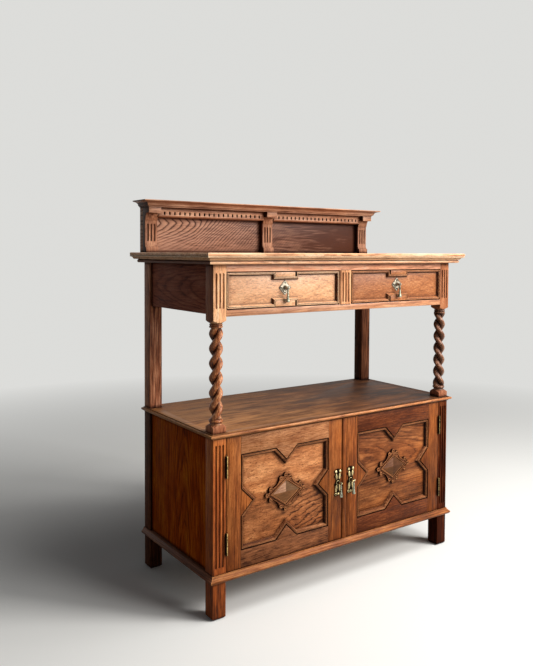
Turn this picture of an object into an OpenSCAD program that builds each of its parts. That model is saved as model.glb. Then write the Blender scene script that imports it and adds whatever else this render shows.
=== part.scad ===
// Oak sideboard: a two-door cupboard on four square feet, an open serving bay between
// barley-twist columns, a case of two drawers and a low gallery with dentils.
// Millimetres. +Z is up, the doors face -Y, the origin is on the floor below the middle.

/* [Carcass] */
// Width of the cupboard across its legs
case_w = 1000; // [900:5:1150]
// Depth of the cupboard across its legs
case_d = 460; // [420:5:520]
// Side of each square leg and post
leg = 44; // [42:1:48]
// Height of the legs, from the floor to the serving board
leg_h = 535; // [500:5:600]
// Height of the feet below the base moulding
foot_h = 112; // [80:2:130]
// Chamfer round the bottom of each foot
foot_cut = 5; // [2:0.5:8]
// Height of the bottom rails and of the moulding on them
base_h = 22; // [20:0.5:26]
// Depth of the bottom rails, front to back
rail_d = 28; // [24:1:34]
// Thickness of the bottom board
bottom_t = 14; // [12:1:16]
// Thickness of the side panels
side_t = 12; // [10:1:16]
// Set-back of the lower side panels from the faces of the legs
side_recess = 7; // [4:1:10]
// Thickness of the back boards
back_t = 9; // [8:1:12]
// Set-back of the back boards from the backs of the legs
back_recess = 10; // [8:1:14]
// Depth of the grooves that hold panels and boards
groove = 6; // [4:1:8]
// Length of the tenons on rails
tenon = 16; // [12:1:20]
// Thickness of the tenons on rails
tenon_t = 9; // [7:1:10]

/* [Serving board] */
// Thickness of the serving board
mid_t = 15; // [13:1:20]
// Reach of its moulded edge beyond the legs
mid_over = 12.5; // [8:0.5:16]

/* [Shelf] */
// Height of the top of the shelf above the bottom board
shelf_up = 205; // [150:5:260]
// Thickness of the shelf
shelf_t = 14; // [12:1:18]
// Set-back of the shelf behind the doors
shelf_back = 30; // [20:2:60]
// Side of the square shelf bearers
bearer = 18; // [14:1:22]

/* [Doors] */
// Thickness of the doors
door_t = 24; // [22:1:28]
// Gap round each door
door_gap = 1.5; // [1.2:0.1:2.5]
// Distance of the meeting line of the doors to the left of the middle
meet_off = 9; // [0:1:20]
// Width of the hinge stiles
hinge_stile = 51; // [46:1:58]
// Width of the meeting stile of the left door
left_stile = 56; // [50:1:64]
// Width of the meeting stile of the right door
right_stile = 47; // [42:1:56]
// Width of the bead on the meeting edge of the right door
bead_w = 20; // [16:1:22]
// How far the bead stands in front of the doors
bead_up = 2.5; // [1:0.5:4]
// Height of the top rails of the doors
door_top = 55.5; // [48:0.5:64]
// Height of the bottom rails of the doors
door_low = 52; // [46:0.5:60]
// Thickness of the door panels
panel_t = 9; // [8:1:10]
// Depth of the panels behind the face of the doors
panel_recess = 11; // [9:1:12]
// Half width and depth of each notch of the star
star_cut = 40; // [30:1:50]
// Width of the star moulding
star_w = 12; // [10:0.5:14]
// Half length of the pyramid on each door
boss_x = 57; // [48:1:64]
// Half height of the pyramid on each door
boss_z = 39; // [32:1:46]
// Height of the point of the pyramid above the panel
boss_up = 14; // [9:0.5:18]
// Thickness of the carved strapwork behind the pyramid
strap_t = 3; // [2:0.5:4]
// Reach of the strapwork past each point of the pyramid
strap_out = 21; // [18:0.5:24]
// Radius of the scrolls of the strapwork
scroll_r = 7.5; // [6:0.5:9]

/* [Hinges and pulls] */
// Length of each butt hinge
hinge_h = 65; // [50:1:76]
// Distance of the hinges from the top and bottom of a door
hinge_in = 52; // [40:1:70]
// Radius of the hinge knuckles
knuckle_r = 3.5; // [3:0.1:4]
// Radius of the hinge pins
pin_r = 1.5; // [1.2:0.1:1.8]
// Thickness of the hinge leaves
leaf_t = 1.4; // [1.2:0.1:1.8]
// Width of the hinge leaves
leaf_w = 20; // [14:1:22]
// Running clearance round hinge and pull pins
pin_play = 0.08; // [0.03:0.01:0.1]
// Thickness of the brass plates
plate_t = 2; // [1.5:0.1:2.5]
// Side of the square drawer plates, which hang on one corner
plate_side = 33; // [28:1:38]
// Height of the door plates
plate_h = 90; // [76:1:100]
// Width of the door plates
plate_w = 30; // [26:1:32]
// Distance of the door plates from the edge of their stile
plate_in = 17; // [16:1:24]
// Distance of the pull pins in front of their plates
pull_out = 15; // [12:0.5:18]
// Length of the drops below their pins
drop_h = 44; // [36:1:50]
// Radius of the flared end of the drops
drop_r = 5.8; // [4.5:0.1:7]
// Height of the pins of the drawer pulls above the middle of a drawer
drawer_pull_up = 4; // [0:0.5:8]
// Distance of the middle of the door plates below the middle of a door
door_plate_down = 8; // [0:1:30]

/* [Columns] */
// Height of the open bay between the serving board and the drawer case
bay_h = 339.5; // [300:0.5:380]
// How far the front posts hang below the drawer case
post_drop = 18.5; // [12:0.5:24]
// Height of the square block at the foot of each column
block_h = 25; // [20:1:32]
// Height of the turned rings below the twist
foot_rings = 16; // [12:0.5:20]
// Height of the turned rings above the twist
head_rings = 14; // [12:0.5:18]
// Radius of each strand of the twist
strand_r = 11; // [10:0.5:12]
// Distance of each strand from the axis of its column
strand_off = 9.5; // [7:0.5:10]
// Height in which a strand goes once round
twist_lead = 87; // [70:1:110]
// Radius of the spigots under the columns and posts
spigot_r = 11; // [8:0.5:13]
// Depth of the spigots below the serving board
spigot_h = 30; // [20:1:40]
// Clearance round the spigots
spigot_play = 0.1; // [0.05:0.05:0.3]

/* [Drawer case] */
// Height of the rail below the drawers
low_rail_h = 19.5; // [18:0.5:26]
// Height of the drawer opening
drawer_h = 111; // [95:1:140]
// Height of the rail above the drawers
top_rail_h = 33; // [30:0.5:40]
// Depth of the rail above the drawers, front to back
case_rail_d = 24; // [22:1:30]
// Depth of the rail below the drawers, front to back
low_rail_d = 42; // [40:1:48]
// Set-back of the upper side panels from the faces of the posts
upper_recess = 8; // [5:1:10]
// Width of the block between the drawers
muntin_w = 50; // [46:1:60]
// How far that block stands in front of the drawers
muntin_up = 2; // [1:0.5:4]

/* [Drawers] */
// Gap round each drawer front
drawer_gap = 1; // [0.8:0.1:2]
// Length of each drawer
drawer_l = 400; // [340:5:405]
// Thickness of the board of each drawer front
front_t = 14; // [12:1:18]
// Depth of the field of the drawer front behind its moulding
field_recess = 8; // [6:0.5:9]
// Width of the moulding round each drawer front
mould_w = 10; // [8:0.5:12]
// Width of the tablets at the top and bottom of each drawer front
tab_w = 98; // [80:1:120]
// Reach of the tablets into the field
tab_h = 22; // [18:1:26]
// Thickness of the drawer sides and back
wall_t = 10; // [8:1:12]
// Thickness of the drawer bottoms
floor_t = 5; // [4:0.5:6]
// Height of the drawer bottoms above the lower edge
floor_up = 5; // [4:0.5:8]
// Thickness of the runners and kickers
runner_t = 12; // [10:1:14]
// Width of the runners and kickers beside the drawer sides
runner_in = 16; // [14:1:22]
// Height of the guides above the runners
guide_h = 26; // [18:1:34]
// Distance of the two stops of a drawer from its middle
stop_x = 120; // [80:5:140]
// Clearance between the drawer sides and their guides
slide_play = 0.5; // [0.3:0.1:0.8]
// Clearance between the drawer sides and their runners
seat_play = 0.3; // [0.2:0.1:0.6]
// Clearance between a closed drawer and its stops
stop_play = 0.3; // [0.2:0.1:0.6]

/* [Top] */
// Height of the moulding below the top board
bed_h = 11.6; // [10:0.2:14]
// Thickness of the top board
top_t = 22; // [20:0.5:26]
// Reach of the top board beyond the front and the sides
top_over = 41; // [36:0.5:48]
// Reach of the top board behind the posts
back_over = 27; // [22:1:34]

/* [Gallery] */
// Height of the gallery above the top board
gallery_h = 175; // [160:1:200]
// Half width of the gallery board
gallery_x = 503; // [480:1:510]
// Thickness of the gallery board
gallery_t = 22; // [18:1:24]
// Height of the cornice
cornice_h = 22; // [20:0.5:26]
// Reach of the cornice beyond the frieze blocks
cornice_over = 27; // [24:0.5:30]
// Width of the pilasters and the frieze blocks
pilaster_w = 45; // [42:1:50]
// Reach of the pilaster shafts in front of the board
pilaster_out = 18; // [14:0.5:20]
// Height of the pilaster plinths
plinth_h = 18; // [16:0.5:22]
// Reach of the plinths in front of the shafts
plinth_out = 9; // [6:0.5:12]
// Height of the pilaster capitals
capital_h = 24; // [20:0.5:28]
// Reach of the capitals in front of the shafts
capital_out = 11; // [8:0.5:14]
// Height of the frieze blocks
frieze_h = 20; // [16:0.5:24]
// Reach of the frieze blocks in front of the board
frieze_out = 49; // [42:0.5:54]
// Height of the dentil strips
dentil_h = 32; // [28:0.5:36]
// Reach of the dentil strips in front of the board
dentil_out = 29; // [24:0.5:34]
// Distance from one dentil slot to the next
dentil_pitch = 19.5; // [16:0.5:26]
// Width of each dentil slot
slot_w = 6; // [4:0.5:8]
// Height of each dentil slot
slot_h = 11.5; // [9:0.5:14]
// Depth of each dentil slot
slot_depth = 9; // [6:0.5:12]

/* [Flutes] */
// Width of each flute
flute_w = 6; // [4:0.5:7]
// Distance from one flute to the next
flute_pitch = 12; // [10:0.5:13]
// Plain margin above and below the flutes of a leg
flute_margin = 18; // [12:1:26]

/* [Hidden] */
$fn = 48;

OAK = "#96592f";
OAK_DARK = "#6b3f26";
OAK_PALE = "#b58a5a";
BRASS = "#b7a06a";

// Line of glue between pieces that share a node
glue = 0.1;
// Allowance that makes a cut pass its face
cut = 1;
// Length that passes every moulding
past = 60;
// Set-back of a tenon from the edges of its rail
shoulder = 5;
// Room left at the end of a tenon
tenon_room = 1;

// Plan of the carcass
x_out = case_w / 2;
x_in = x_out - leg;
y_front = top_over - (case_d + top_over + back_over) / 2;
y_back = y_front + case_d;
y_leg = y_front + leg;
y_rear = y_back - leg;
y_top_back = y_back + back_over;

// Heights
base_top = foot_h + base_h;
mid_top = leg_h + mid_t;
post_low = mid_top + bay_h - post_drop;
twist_low = mid_top + block_h + foot_rings;
twist_top = post_low - head_rings;
case_low = mid_top + bay_h;
open_low = case_low + low_rail_h;
open_top = open_low + drawer_h;
case_top = open_top + top_rail_h;
bed_low = case_top - bed_h;
top_z = case_top + top_t;
gallery_top = top_z + gallery_h;
cornice_low = gallery_top - cornice_h;
frieze_low = cornice_low - frieze_h;
capital_low = frieze_low - capital_h;

// Panels of the case
y_board = y_back - back_recess - back_t;
x_panel = x_out - side_recess - side_t;
x_upper = x_out - upper_recess - side_t;
panel_rise = 5.5;
board_tongue = 6;
shelf_top = base_top + shelf_up;
shelf_play = 0.5;

// Doors
door_z0 = base_top + door_gap;
door_z1 = leg_h - door_gap;
hinge_z = [door_z0 + hinge_in, door_z1 - hinge_in - hinge_h];
y_panel = y_front + panel_recess;
door_mid_z = (door_z0 + door_low + door_z1 - door_top) / 2;
left_x = [-x_in + door_gap, -meet_off - door_gap / 2];
right_x = [-meet_off + door_gap / 2, x_in - door_gap];
left_field = [left_x[0] + hinge_stile, left_x[1] - left_stile];
right_field = [right_x[0] + bead_w + right_stile, right_x[1] - hinge_stile];
door_tenon = 30;
door_shoulder = 8;
door_plate_z = door_mid_z - door_plate_down;

// Hinges: the pin stands just in front of the doors
leaf_play = 0.3;
hinge_x = x_in - door_gap / 2;
hinge_y = y_front - knuckle_r - 0.2;
knuckles = 5;
knuckle_h = hinge_h / knuckles;
knuckle_play = 0.2;

// Pulls: the eye of the drop turns on a pin between two ears
eye_r = 4.2;
eye_t = 4;
eye_play = 1;
ear_r = 3.2;
ear_t = 2;
ear_play = 0.2;
post_r = 6;
pull_pin_r = 1.2;
screw_r = 1.5;
drawer_mid_x = -(x_in + muntin_w / 2) / 2;
drawer_mid_z = (open_low + open_top) / 2;
left_pull_x = left_x[1] - plate_in;
right_pull_x = right_x[0] + bead_w + plate_in;

// Drawers, drawn for the left one
dx0 = -x_in + drawer_gap;
dx1 = -muntin_w / 2 - drawer_gap;
dz0 = open_low + drawer_gap;
dz1 = open_top - drawer_gap;
y_field = y_front + field_recess;
y_front_back = y_field + front_t;
y_drawer_end = y_front + drawer_l;
lap_cover = 6;
lap = front_t - lap_cover;
wall_low = open_low + seat_play;
wall_top = dz1 - 4;
back_drop = 6;
floor_z = dz0 + floor_up;
floor_in = 5;

// Gallery
y_gallery = y_top_back - gallery_t;
y_shaft = y_gallery - pilaster_out;
y_plinth = y_shaft - plinth_out;
y_frieze = y_gallery - frieze_out;
y_dentil = y_gallery - dentil_out;
pilaster_x = gallery_x - pilaster_w / 2;

// Profiles: each point is [reach beyond the face, height], from the bottom to the top
function arc_points(c, r, a0, a1, n) =
    [for (i = [0:n]) let (a = a0 + (a1 - a0) * i / n) c + r * [cos(a), sin(a)]];
base_profile = concat([[0, 0], [8, 0]], arc_points([7.3, 7], 5.4, -70, 80, 6),
    [[5.5, base_h - 6], [3, base_h - 3], [3, base_h], [0, base_h]]);
mid_profile = concat([[-leg / 2, 0], [mid_over - 10, 0], [mid_over - 8.5, 2.5],
    [mid_over - 5.5, 4.5]], arc_points([mid_over - 5, mid_t / 2 + 1.6], 5, -60, 60, 6),
    [[mid_over - 6, mid_t], [-leg / 2, mid_t]]);
bed_profile = concat([[0, 0], [17, 0]], arc_points([19.5, bed_h / 2 - 0.3], 5.6, -75, 75, 6),
    [[22.5, bed_h - 0.4], [22.5, bed_h], [0, bed_h]]);
top_profile = concat([[-leg / 2, 0], [28, 0], [28, 2.4], [top_over - 8, 3]],
    arc_points([top_over - 8, top_t / 2 - 0.5], 8, -75, 75, 8),
    [[top_over - 10, top_t - 4], [top_over - 15, top_t - 4], [top_over - 15, top_t],
    [-leg / 2, top_t]]);
crown_profile = concat([[-leg / 2, 0], [3, 0], [3, 3], [6, 4]],
    [for (i = [0:6]) let (a = 90 * i / 6)
        [7 + (cornice_over - 10) * (1 - cos(a)) , 5.5 + (cornice_h - 10) * sin(a)]],
    [[cornice_over - 1.5, cornice_h - 4], [cornice_over, cornice_h - 3],
    [cornice_over, cornice_h], [-leg / 2, cornice_h]]);

// Box between two opposite corners
module box(a, b) {
    translate(a) cube(b - a);
}

// Prism of an outline drawn in Y and Z
module along_x(points, x0, x1) {
    translate([x0, 0, 0]) rotate([90, 0, 90]) linear_extrude(x1 - x0) polygon(points);
}

// Prism of an outline drawn in X and Z
module along_y(points, y0, y1) {
    translate([0, y1, 0]) rotate([90, 0, 0]) linear_extrude(y1 - y0) polygon(points);
}

// Piece of the right half made from a piece of the left half
module right_hand() {
    mirror([1, 0, 0]) children();
}

// Board with one profile along its front and both ends
module moulded_board(profile, z, xh, yf, yb) {
    top = profile[len(profile) - 1][1];
    side = [for (p = profile) [-xh - p[0], z + p[1]]];
    other = [for (i = [len(profile) - 1:-1:0]) [xh + profile[i][0], z + profile[i][1]]];
    intersection() {
        along_x(concat([for (p = profile) [yf - p[0], z + p[1]]], [[yb, z + top], [yb, z]]),
            -xh - past, xh + past);
        along_y(concat(side, other), yf - past, yb);
    }
}

// Mitred strips of one profile along the front and both sides of a case
module planted_strips(profile, z, xh, yf, yb) {
    top = z + profile[len(profile) - 1][1];
    intersection() {
        along_x([for (p = profile) [yf - p[0], z + p[1]]], -xh - past, xh + past);
        translate([0, 0, z - cut]) linear_extrude(top - z + 2 * cut)
            polygon([[-xh, yf], [xh, yf], [xh + past, yf - past], [-xh - past, yf - past]]);
    }
    for (s = [0, 1]) mirror([s, 0, 0]) intersection() {
        along_y([for (p = profile) [-xh - p[0], z + p[1]]], yf - past, yb);
        translate([0, 0, z - cut]) linear_extrude(top - z + 2 * cut)
            polygon([[-xh, yf + glue], [-xh - past, yf - past + glue], [-xh - past, yb],
                [-xh, yb]]);
    }
}

// Round-bottomed groove of a given length, standing on the point given
module flute(x, y, z, length) {
    r = flute_w / 2;
    translate([x, y, z]) rotate_extrude()
        polygon([[0, 0], [r, r], [r, length - r], [0, length]]);
}

module three_flutes(x, y, z, length) {
    for (i = [-1:1]) flute(x + i * flute_pitch, y, z, length);
}

// Corner i of a closed outline, moved inwards by d
function left_normal(a, b) = let (d = (b - a) / norm(b - a)) [-d[1], d[0]];
function inset_corner(path, i, d) =
    let (n = len(path), b = path[i],
        s = left_normal(path[(i + n - 1) % n], b) + left_normal(b, path[(i + 1) % n]))
    b + d * s * 2 / (s * s);

// Mitred moulding along the inside of a closed outline. Profile points are [inset, height].
module mitred_ring(path, profile) {
    n = len(path);
    m = len(profile);
    corners = [for (i = [0:n - 1], p = profile)
        let (q = inset_corner(path, i, p[0])) [q[0], q[1], p[1]]];
    sides = [for (i = [0:n - 1], j = [0:m - 1])
        let (i1 = (i + 1) % n, j1 = (j + 1) % m)
        [i * m + j, i1 * m + j, i1 * m + j1, i * m + j1]];
    polyhedron(points = corners, faces = sides);
}

// Places a flat drawing in X and Z on a plane that faces the front, growing forwards
module on_face(y) {
    translate([0, y, 0]) rotate([90, 0, 0]) children();
}

// Square stock turned away below or above a height, as a lathe leaves its corners
module pommel(z0, z1, neck, low, high) {
    flare = leg * 0.75;
    rise = leg * 0.2;
    foot = low ? [[0, z0], [neck, z0], [flare, z0 + rise]] : [[0, z0], [flare, z0]];
    head = high ? [[flare, z1 - rise], [neck, z1], [0, z1]] : [[flare, z1], [0, z1]];
    intersection() {
        box([-leg / 2, -leg / 2, z0], [leg / 2, leg / 2, z1]);
        rotate_extrude() polygon(concat(foot, head));
    }
}

// Tenons and the mortices that take them
bottom_tenon_z = [foot_h + shoulder, base_top - shoulder];
low_tenon_z = [case_low + shoulder, open_low - shoulder];
top_tenon_z = [open_top + shoulder, case_top - shoulder];
module end_tenons(x, y, z, extra) {
    for (s = [-1, 1])
        box([s > 0 ? x - cut : -x - tenon - extra, y - tenon_t / 2, z[0]],
            [s > 0 ? x + tenon + extra : -x + cut, y + tenon_t / 2, z[1]]);
}
module depth_tenons(x, y0, y1, z, extra) {
    box([x - tenon_t / 2, y0 - tenon - extra, z[0]], [x + tenon_t / 2, y0 + cut, z[1]]);
    box([x - tenon_t / 2, y1 - cut, z[0]], [x + tenon_t / 2, y1 + tenon + extra, z[1]]);
}
bottom_rail_mid = [y_front + rail_d / 2, y_back - rail_d / 2];
side_rail_x = x_out - rail_d / 2;
case_rail_mid = y_front + case_rail_d / 2;

module bottom_rails() color(OAK) difference() {
    union() {
        for (i = [0, 1]) {
            y = bottom_rail_mid[i];
            box([-x_in, y - rail_d / 2, foot_h], [x_in, y + rail_d / 2, base_top]);
            end_tenons(x_in, y, bottom_tenon_z, 0);
        }
        for (s = [-1, 1]) {
            box([s * side_rail_x - rail_d / 2, y_leg, foot_h],
                [s * side_rail_x + rail_d / 2, y_rear, base_top]);
            depth_tenons(s * side_rail_x, y_leg, y_rear, bottom_tenon_z, 0);
        }
    }
    bottom_tongue();
}

// Lower legs, drawn at the left
module leg_stock(y) {
    difference() {
        box([-x_out, y, 0], [-x_in, y + leg, leg_h]);
        for (s = [0, 1])
            translate([-x_out + s * leg, y + leg / 2, 0]) rotate([0, 45, 0])
                cube([foot_cut * sqrt(2), leg + 2 * cut, foot_cut * sqrt(2)], center = true);
        for (s = [0, 1])
            translate([-x_out + leg / 2, y + s * leg, 0]) rotate([45, 0, 0])
                cube([leg + 2 * cut, foot_cut * sqrt(2), foot_cut * sqrt(2)], center = true);
        end_tenons(x_in, y < 0 ? bottom_rail_mid[0] : bottom_rail_mid[1], bottom_tenon_z,
            tenon_room);
        depth_tenons(-side_rail_x, y_leg, y_rear, bottom_tenon_z, tenon_room);
        lower_panel_stock(-1);
        bottom_tongue();
        spigot_hole(-x_out + leg / 2, y + leg / 2);
    }
}

// Vertical hole for the spigot of a column or post
module spigot_hole(x, y) {
    translate([x, y, mid_top - mid_t - spigot_h])
        cylinder(r = spigot_r + spigot_play, h = mid_t + spigot_h + cut);
}
module spigot(x, y) {
    translate([x, y, leg_h - spigot_h + tenon_room])
        cylinder(r = spigot_r, h = mid_t + spigot_h);
}

module front_leg() {
    difference() {
        leg_stock(y_front);
        three_flutes(-x_out + leg / 2, y_front, base_top + flute_margin,
            leg_h - base_top - 2 * flute_margin);
        hinge_recess(-1);
    }
}
module rear_leg() {
    difference() {
        leg_stock(y_rear);
        back_stock(base_top, leg_h);
    }
}
module front_left_leg() color(OAK) front_leg();
module front_right_leg() color(OAK) right_hand() front_leg();
module rear_left_leg() color(OAK_DARK) rear_leg();
module rear_right_leg() color(OAK_DARK) right_hand() rear_leg();

// Bottom board: a tongue round its edge sits in the bottom rails
module bottom_tongue() {
    z = base_top - (bottom_t + board_tongue) / 2;
    box([-x_out + rail_d - groove, y_front + rail_d - groove, z],
        [x_out - rail_d + groove, y_back - rail_d + groove, z + board_tongue]);
}
module bottom_board() color(OAK_PALE) difference() {
    union() {
        box([-x_out + rail_d, y_front + rail_d, base_top - bottom_t],
            [x_out - rail_d, y_back - rail_d, base_top]);
        bottom_tongue();
    }
    for (x = [-x_out, x_in], y = [y_front, y_rear])
        box([x - cut * (x < 0 ? 1 : 0), y - cut * (y < 0 ? 1 : 0), 0],
            [x + leg + cut * (x < 0 ? 0 : 1), y + leg + cut * (y < 0 ? 0 : 1), leg_h]);
}

module base_moulding() color(OAK) planted_strips(base_profile, foot_h, x_out, y_front, y_back);

// Side panels stand in grooves of the legs
module lower_panel_stock(s) {
    box([s < 0 ? -x_panel - side_t : x_panel, y_leg - groove, base_top],
        [s < 0 ? -x_panel : x_panel + side_t, y_rear + groove, leg_h]);
}
module lower_side_panels() color(OAK_DARK) for (s = [-1, 1]) lower_panel_stock(s);
module upper_panel_stock(s) {
    box([s < 0 ? -x_upper - side_t : x_upper, y_leg - groove, case_low + panel_rise],
        [s < 0 ? -x_upper : x_upper + side_t, y_rear + groove, case_top]);
}
module upper_side_panels() color(OAK_DARK) for (s = [-1, 1]) upper_panel_stock(s);

// Back boards of the cupboard and of the drawer case
module back_stock(z0, z1) {
    box([-x_in - groove, y_board, z0], [x_in + groove, y_board + back_t, z1]);
}
module cabinet_back() color(OAK_DARK) back_stock(base_top, leg_h);
module drawer_case_back() color(OAK_DARK) back_stock(case_low + panel_rise, case_top);

module serving_board() color(OAK) difference() {
    moulded_board(mid_profile, leg_h, x_out, y_front, y_back);
    for (x = [-1, 1], y = [y_front, y_rear]) spigot_hole(x * (x_out - leg / 2), y + leg / 2);
}

module inner_shelf() color(OAK_PALE) difference() {
    box([-x_panel + shelf_play, y_front + door_t + shelf_back, shelf_top - shelf_t],
        [x_panel - shelf_play, y_board - shelf_play, shelf_top]);
    for (s = [0, 1], y = [y_front, y_rear]) mirror([s, 0, 0])
        box([-x_out, y - shelf_play, shelf_top - shelf_t - cut],
            [-x_in + shelf_play, y + leg + shelf_play, shelf_top + cut]);
}
module shelf_bearers() color(OAK_PALE) for (s = [-1, 1])
    box([s < 0 ? -x_panel : x_panel - bearer, y_leg, shelf_top - shelf_t - bearer],
        [s < 0 ? -x_panel + bearer : x_panel, y_rear, shelf_top - shelf_t]);

// Batten under the serving board that stops the doors, and the spring strips below it
batten = 22;
batten_play = 0.3;
batten_y = y_front + door_t + batten_play;
batten_low = leg_h - batten;
catch_w = 14;
catch_t = 1.2;
catch_h = 12;
catch_x = [left_x[1] - left_stile / 2, right_x[0] + bead_w + right_stile / 2];
module door_stop() color(OAK_PALE)
    box([-x_in, batten_y, batten_low], [x_in, batten_y + batten, leg_h]);
module door_catches() color(BRASS) for (x = catch_x)
    along_x([[batten_y, batten_low], [batten_y, batten_low - catch_h],
        [batten_y + catch_t, batten_low - catch_h], [batten_y + catch_t, batten_low - catch_t],
        [batten_y + batten, batten_low - catch_t], [batten_y + batten, batten_low]],
        x - catch_w / 2, x + catch_w / 2);

// Turned column: spigot, block, rings, double twist, rings and fluted post in one piece
column_x = -x_out + leg / 2;
column_y = y_front + leg / 2;
twist_start = 20;
twist_step = 4;
joint_lap = 0.5;
module twist() {
    height = twist_top - twist_low + 2 * joint_lap;
    translate([0, 0, twist_low - joint_lap])
        linear_extrude(height, twist = -360 * height / twist_lead, slices = height / twist_step)
            rotate(twist_start) for (s = [-1, 1]) translate([s * strand_off, 0])
                circle(strand_r, $fn = 16);
}
module turned_rings() {
    z = mid_top + block_h;
    big = strand_r + strand_off;
    translate([0, 0, z]) rotate_extrude()
        polygon(concat([[0, -joint_lap], [big - 2, -joint_lap], [big - 2, 0], [big - 3, 4]],
            arc_points([big - 3.5, foot_rings - 5.5], 4.5, -80, 80, 6),
            [[big - 4, foot_rings], [0, foot_rings]]));
    translate([0, 0, twist_top]) rotate_extrude()
        polygon(concat([[0, 0], [big - 3, 0]], arc_points([big - 3, 3], 2.6, -70, 70, 5),
            [[big - 4, 6.2]], arc_points([big - 3.6, 9], 2.4, -70, 70, 5),
            [[big - 3, head_rings + joint_lap], [0, head_rings + joint_lap]]));
}
post_margin = 3;
module column() {
    neck = strand_r + strand_off - 2;
    difference() {
        union() {
            spigot(column_x, column_y);
            translate([column_x, column_y, 0]) {
                pommel(mid_top, mid_top + block_h, neck, false, true);
                turned_rings();
                twist();
                pommel(post_low, case_top, neck, true, false);
            }
        }
        three_flutes(column_x, y_front, open_low + post_margin, drawer_h - 2 * post_margin);
        upper_panel_stock(-1);
        end_tenons(x_in, case_rail_mid, low_tenon_z, tenon_room);
        end_tenons(x_in, case_rail_mid, top_tenon_z, tenon_room);
    }
}
module left_column() color(OAK) column();
module right_column() color(OAK) right_hand() column();

module rear_post() {
    difference() {
        union() {
            spigot(column_x, y_rear + leg / 2);
            box([-x_out, y_rear, mid_top], [-x_in, y_back, case_top]);
        }
        upper_panel_stock(-1);
        back_stock(case_low + panel_rise, case_top);
    }
}
module rear_left_post() color(OAK_DARK) rear_post();
module rear_right_post() color(OAK_DARK) right_hand() rear_post();

// Rails and muntin of the drawer case
module case_rail(z0, z1, tenon_z, depth) {
    difference() {
        union() {
            box([-x_in, y_front, z0], [x_in, y_front + depth, z1]);
            end_tenons(x_in, case_rail_mid, tenon_z, 0);
        }
        muntin_tenon(tenon_room);
    }
}
module drawer_top_rail() color(OAK) case_rail(open_top, case_top, top_tenon_z, case_rail_d);
module drawer_bottom_rail() color(OAK) case_rail(case_low, open_low, low_tenon_z, low_rail_d);
muntin_tenon_l = 9;
muntin_edge = 4;
muntin_margin = 6;
module muntin_tenon(extra) {
    box([-muntin_w / 4, case_rail_mid - tenon_t / 2, open_low - muntin_tenon_l - extra],
        [muntin_w / 4, case_rail_mid + tenon_t / 2, open_top + muntin_tenon_l + extra]);
}
module centre_muntin() color(OAK) difference() {
    union() {
        box([-muntin_w / 2, y_front, open_low], [muntin_w / 2, y_front + case_rail_d, open_top]);
        box([-muntin_w / 2 + muntin_edge, y_front - muntin_up, open_low],
            [muntin_w / 2 - muntin_edge, y_front + cut, open_top]);
        muntin_tenon(0);
    }
    three_flutes(0, y_front - muntin_up, open_low + muntin_margin,
        drawer_h - 2 * muntin_margin);
}

// Runners, guides and kickers of the drawers, and two stops for each drawer on the low rail
runner_y0 = y_front + low_rail_d;
kicker_y0 = y_front + case_rail_d;
runner_low = open_low - runner_t;
kicker_top = open_top + runner_t;
guide_top = open_low + guide_h;
stop_w = 30;
stop_d = 14;
stop_room = 2;
module drawer_stop(x) {
    y = y_front_back + stop_play;
    box([x - stop_w / 2, y, open_low + glue], [x + stop_w / 2, y + stop_d, floor_z - stop_room]);
}
module drawer_runners() color(OAK_PALE) {
    for (s = [0, 1]) mirror([s, 0, 0]) {
        drawer_stop(drawer_mid_x - stop_x);
        drawer_stop(drawer_mid_x + stop_x);
        box([-x_upper, y_leg, runner_low], [-x_in, y_rear, open_low]);
        box([-x_in, runner_y0, runner_low], [-x_in + runner_in, y_board, open_low]);
        box([-x_upper, y_leg, open_low + glue], [dx0 - slide_play, y_rear, guide_top]);
        box([-x_in, kicker_y0, open_top], [-x_in + runner_in, y_board, kicker_top]);
    }
    half = muntin_w / 2 + runner_in;
    box([-half, runner_y0, runner_low], [half, y_board, open_low]);
    box([dx1 + slide_play, runner_y0, open_low + glue], [-dx1 - slide_play, y_board, guide_top]);
    box([-half, kicker_y0, open_top], [half, y_board, kicker_top]);
}

module top_bed_moulding() color(OAK)
    planted_strips(bed_profile, bed_low, x_out, y_front, y_back);
module top_board() color(OAK) moulded_board(top_profile, case_top, x_out, y_front, y_top_back);

// Gallery
module gallery_back() color(OAK)
    box([-gallery_x, y_gallery, top_z], [gallery_x, y_top_back, cornice_low]);
plinth_slope = 9;
plinth_step = 4;
shaft_margin = [10, 11];
capital_steps = [[0.1, 0], [0.3, 0.25], [0.55, 0.6], [1, 1]];
module pilaster() {
    w = pilaster_w / 2;
    shaft_low = top_z + plinth_h;
    flute_low = shaft_low + plinth_slope + shaft_margin[0];
    difference() {
        union() {
            box([-w, y_plinth, top_z], [w, y_gallery, shaft_low]);
            along_x([[y_gallery, shaft_low], [y_plinth + plinth_step, shaft_low],
                [y_shaft, shaft_low + plinth_slope], [y_gallery, shaft_low + plinth_slope]],
                -w, w);
            box([-w, y_shaft, shaft_low + plinth_slope], [w, y_gallery, capital_low]);
            along_x(concat([[y_gallery, frieze_low], [y_gallery, capital_low]],
                [for (p = capital_steps)
                    [y_shaft - capital_out * p[0], capital_low + capital_h * p[1]]]), -w, w);
        }
        three_flutes(0, y_shaft, flute_low, capital_low - shaft_margin[1] - flute_low);
    }
}
module gallery_pilasters() color(OAK)
    for (x = [-pilaster_x, 0, pilaster_x]) translate([x, 0, 0]) pilaster();

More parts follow.
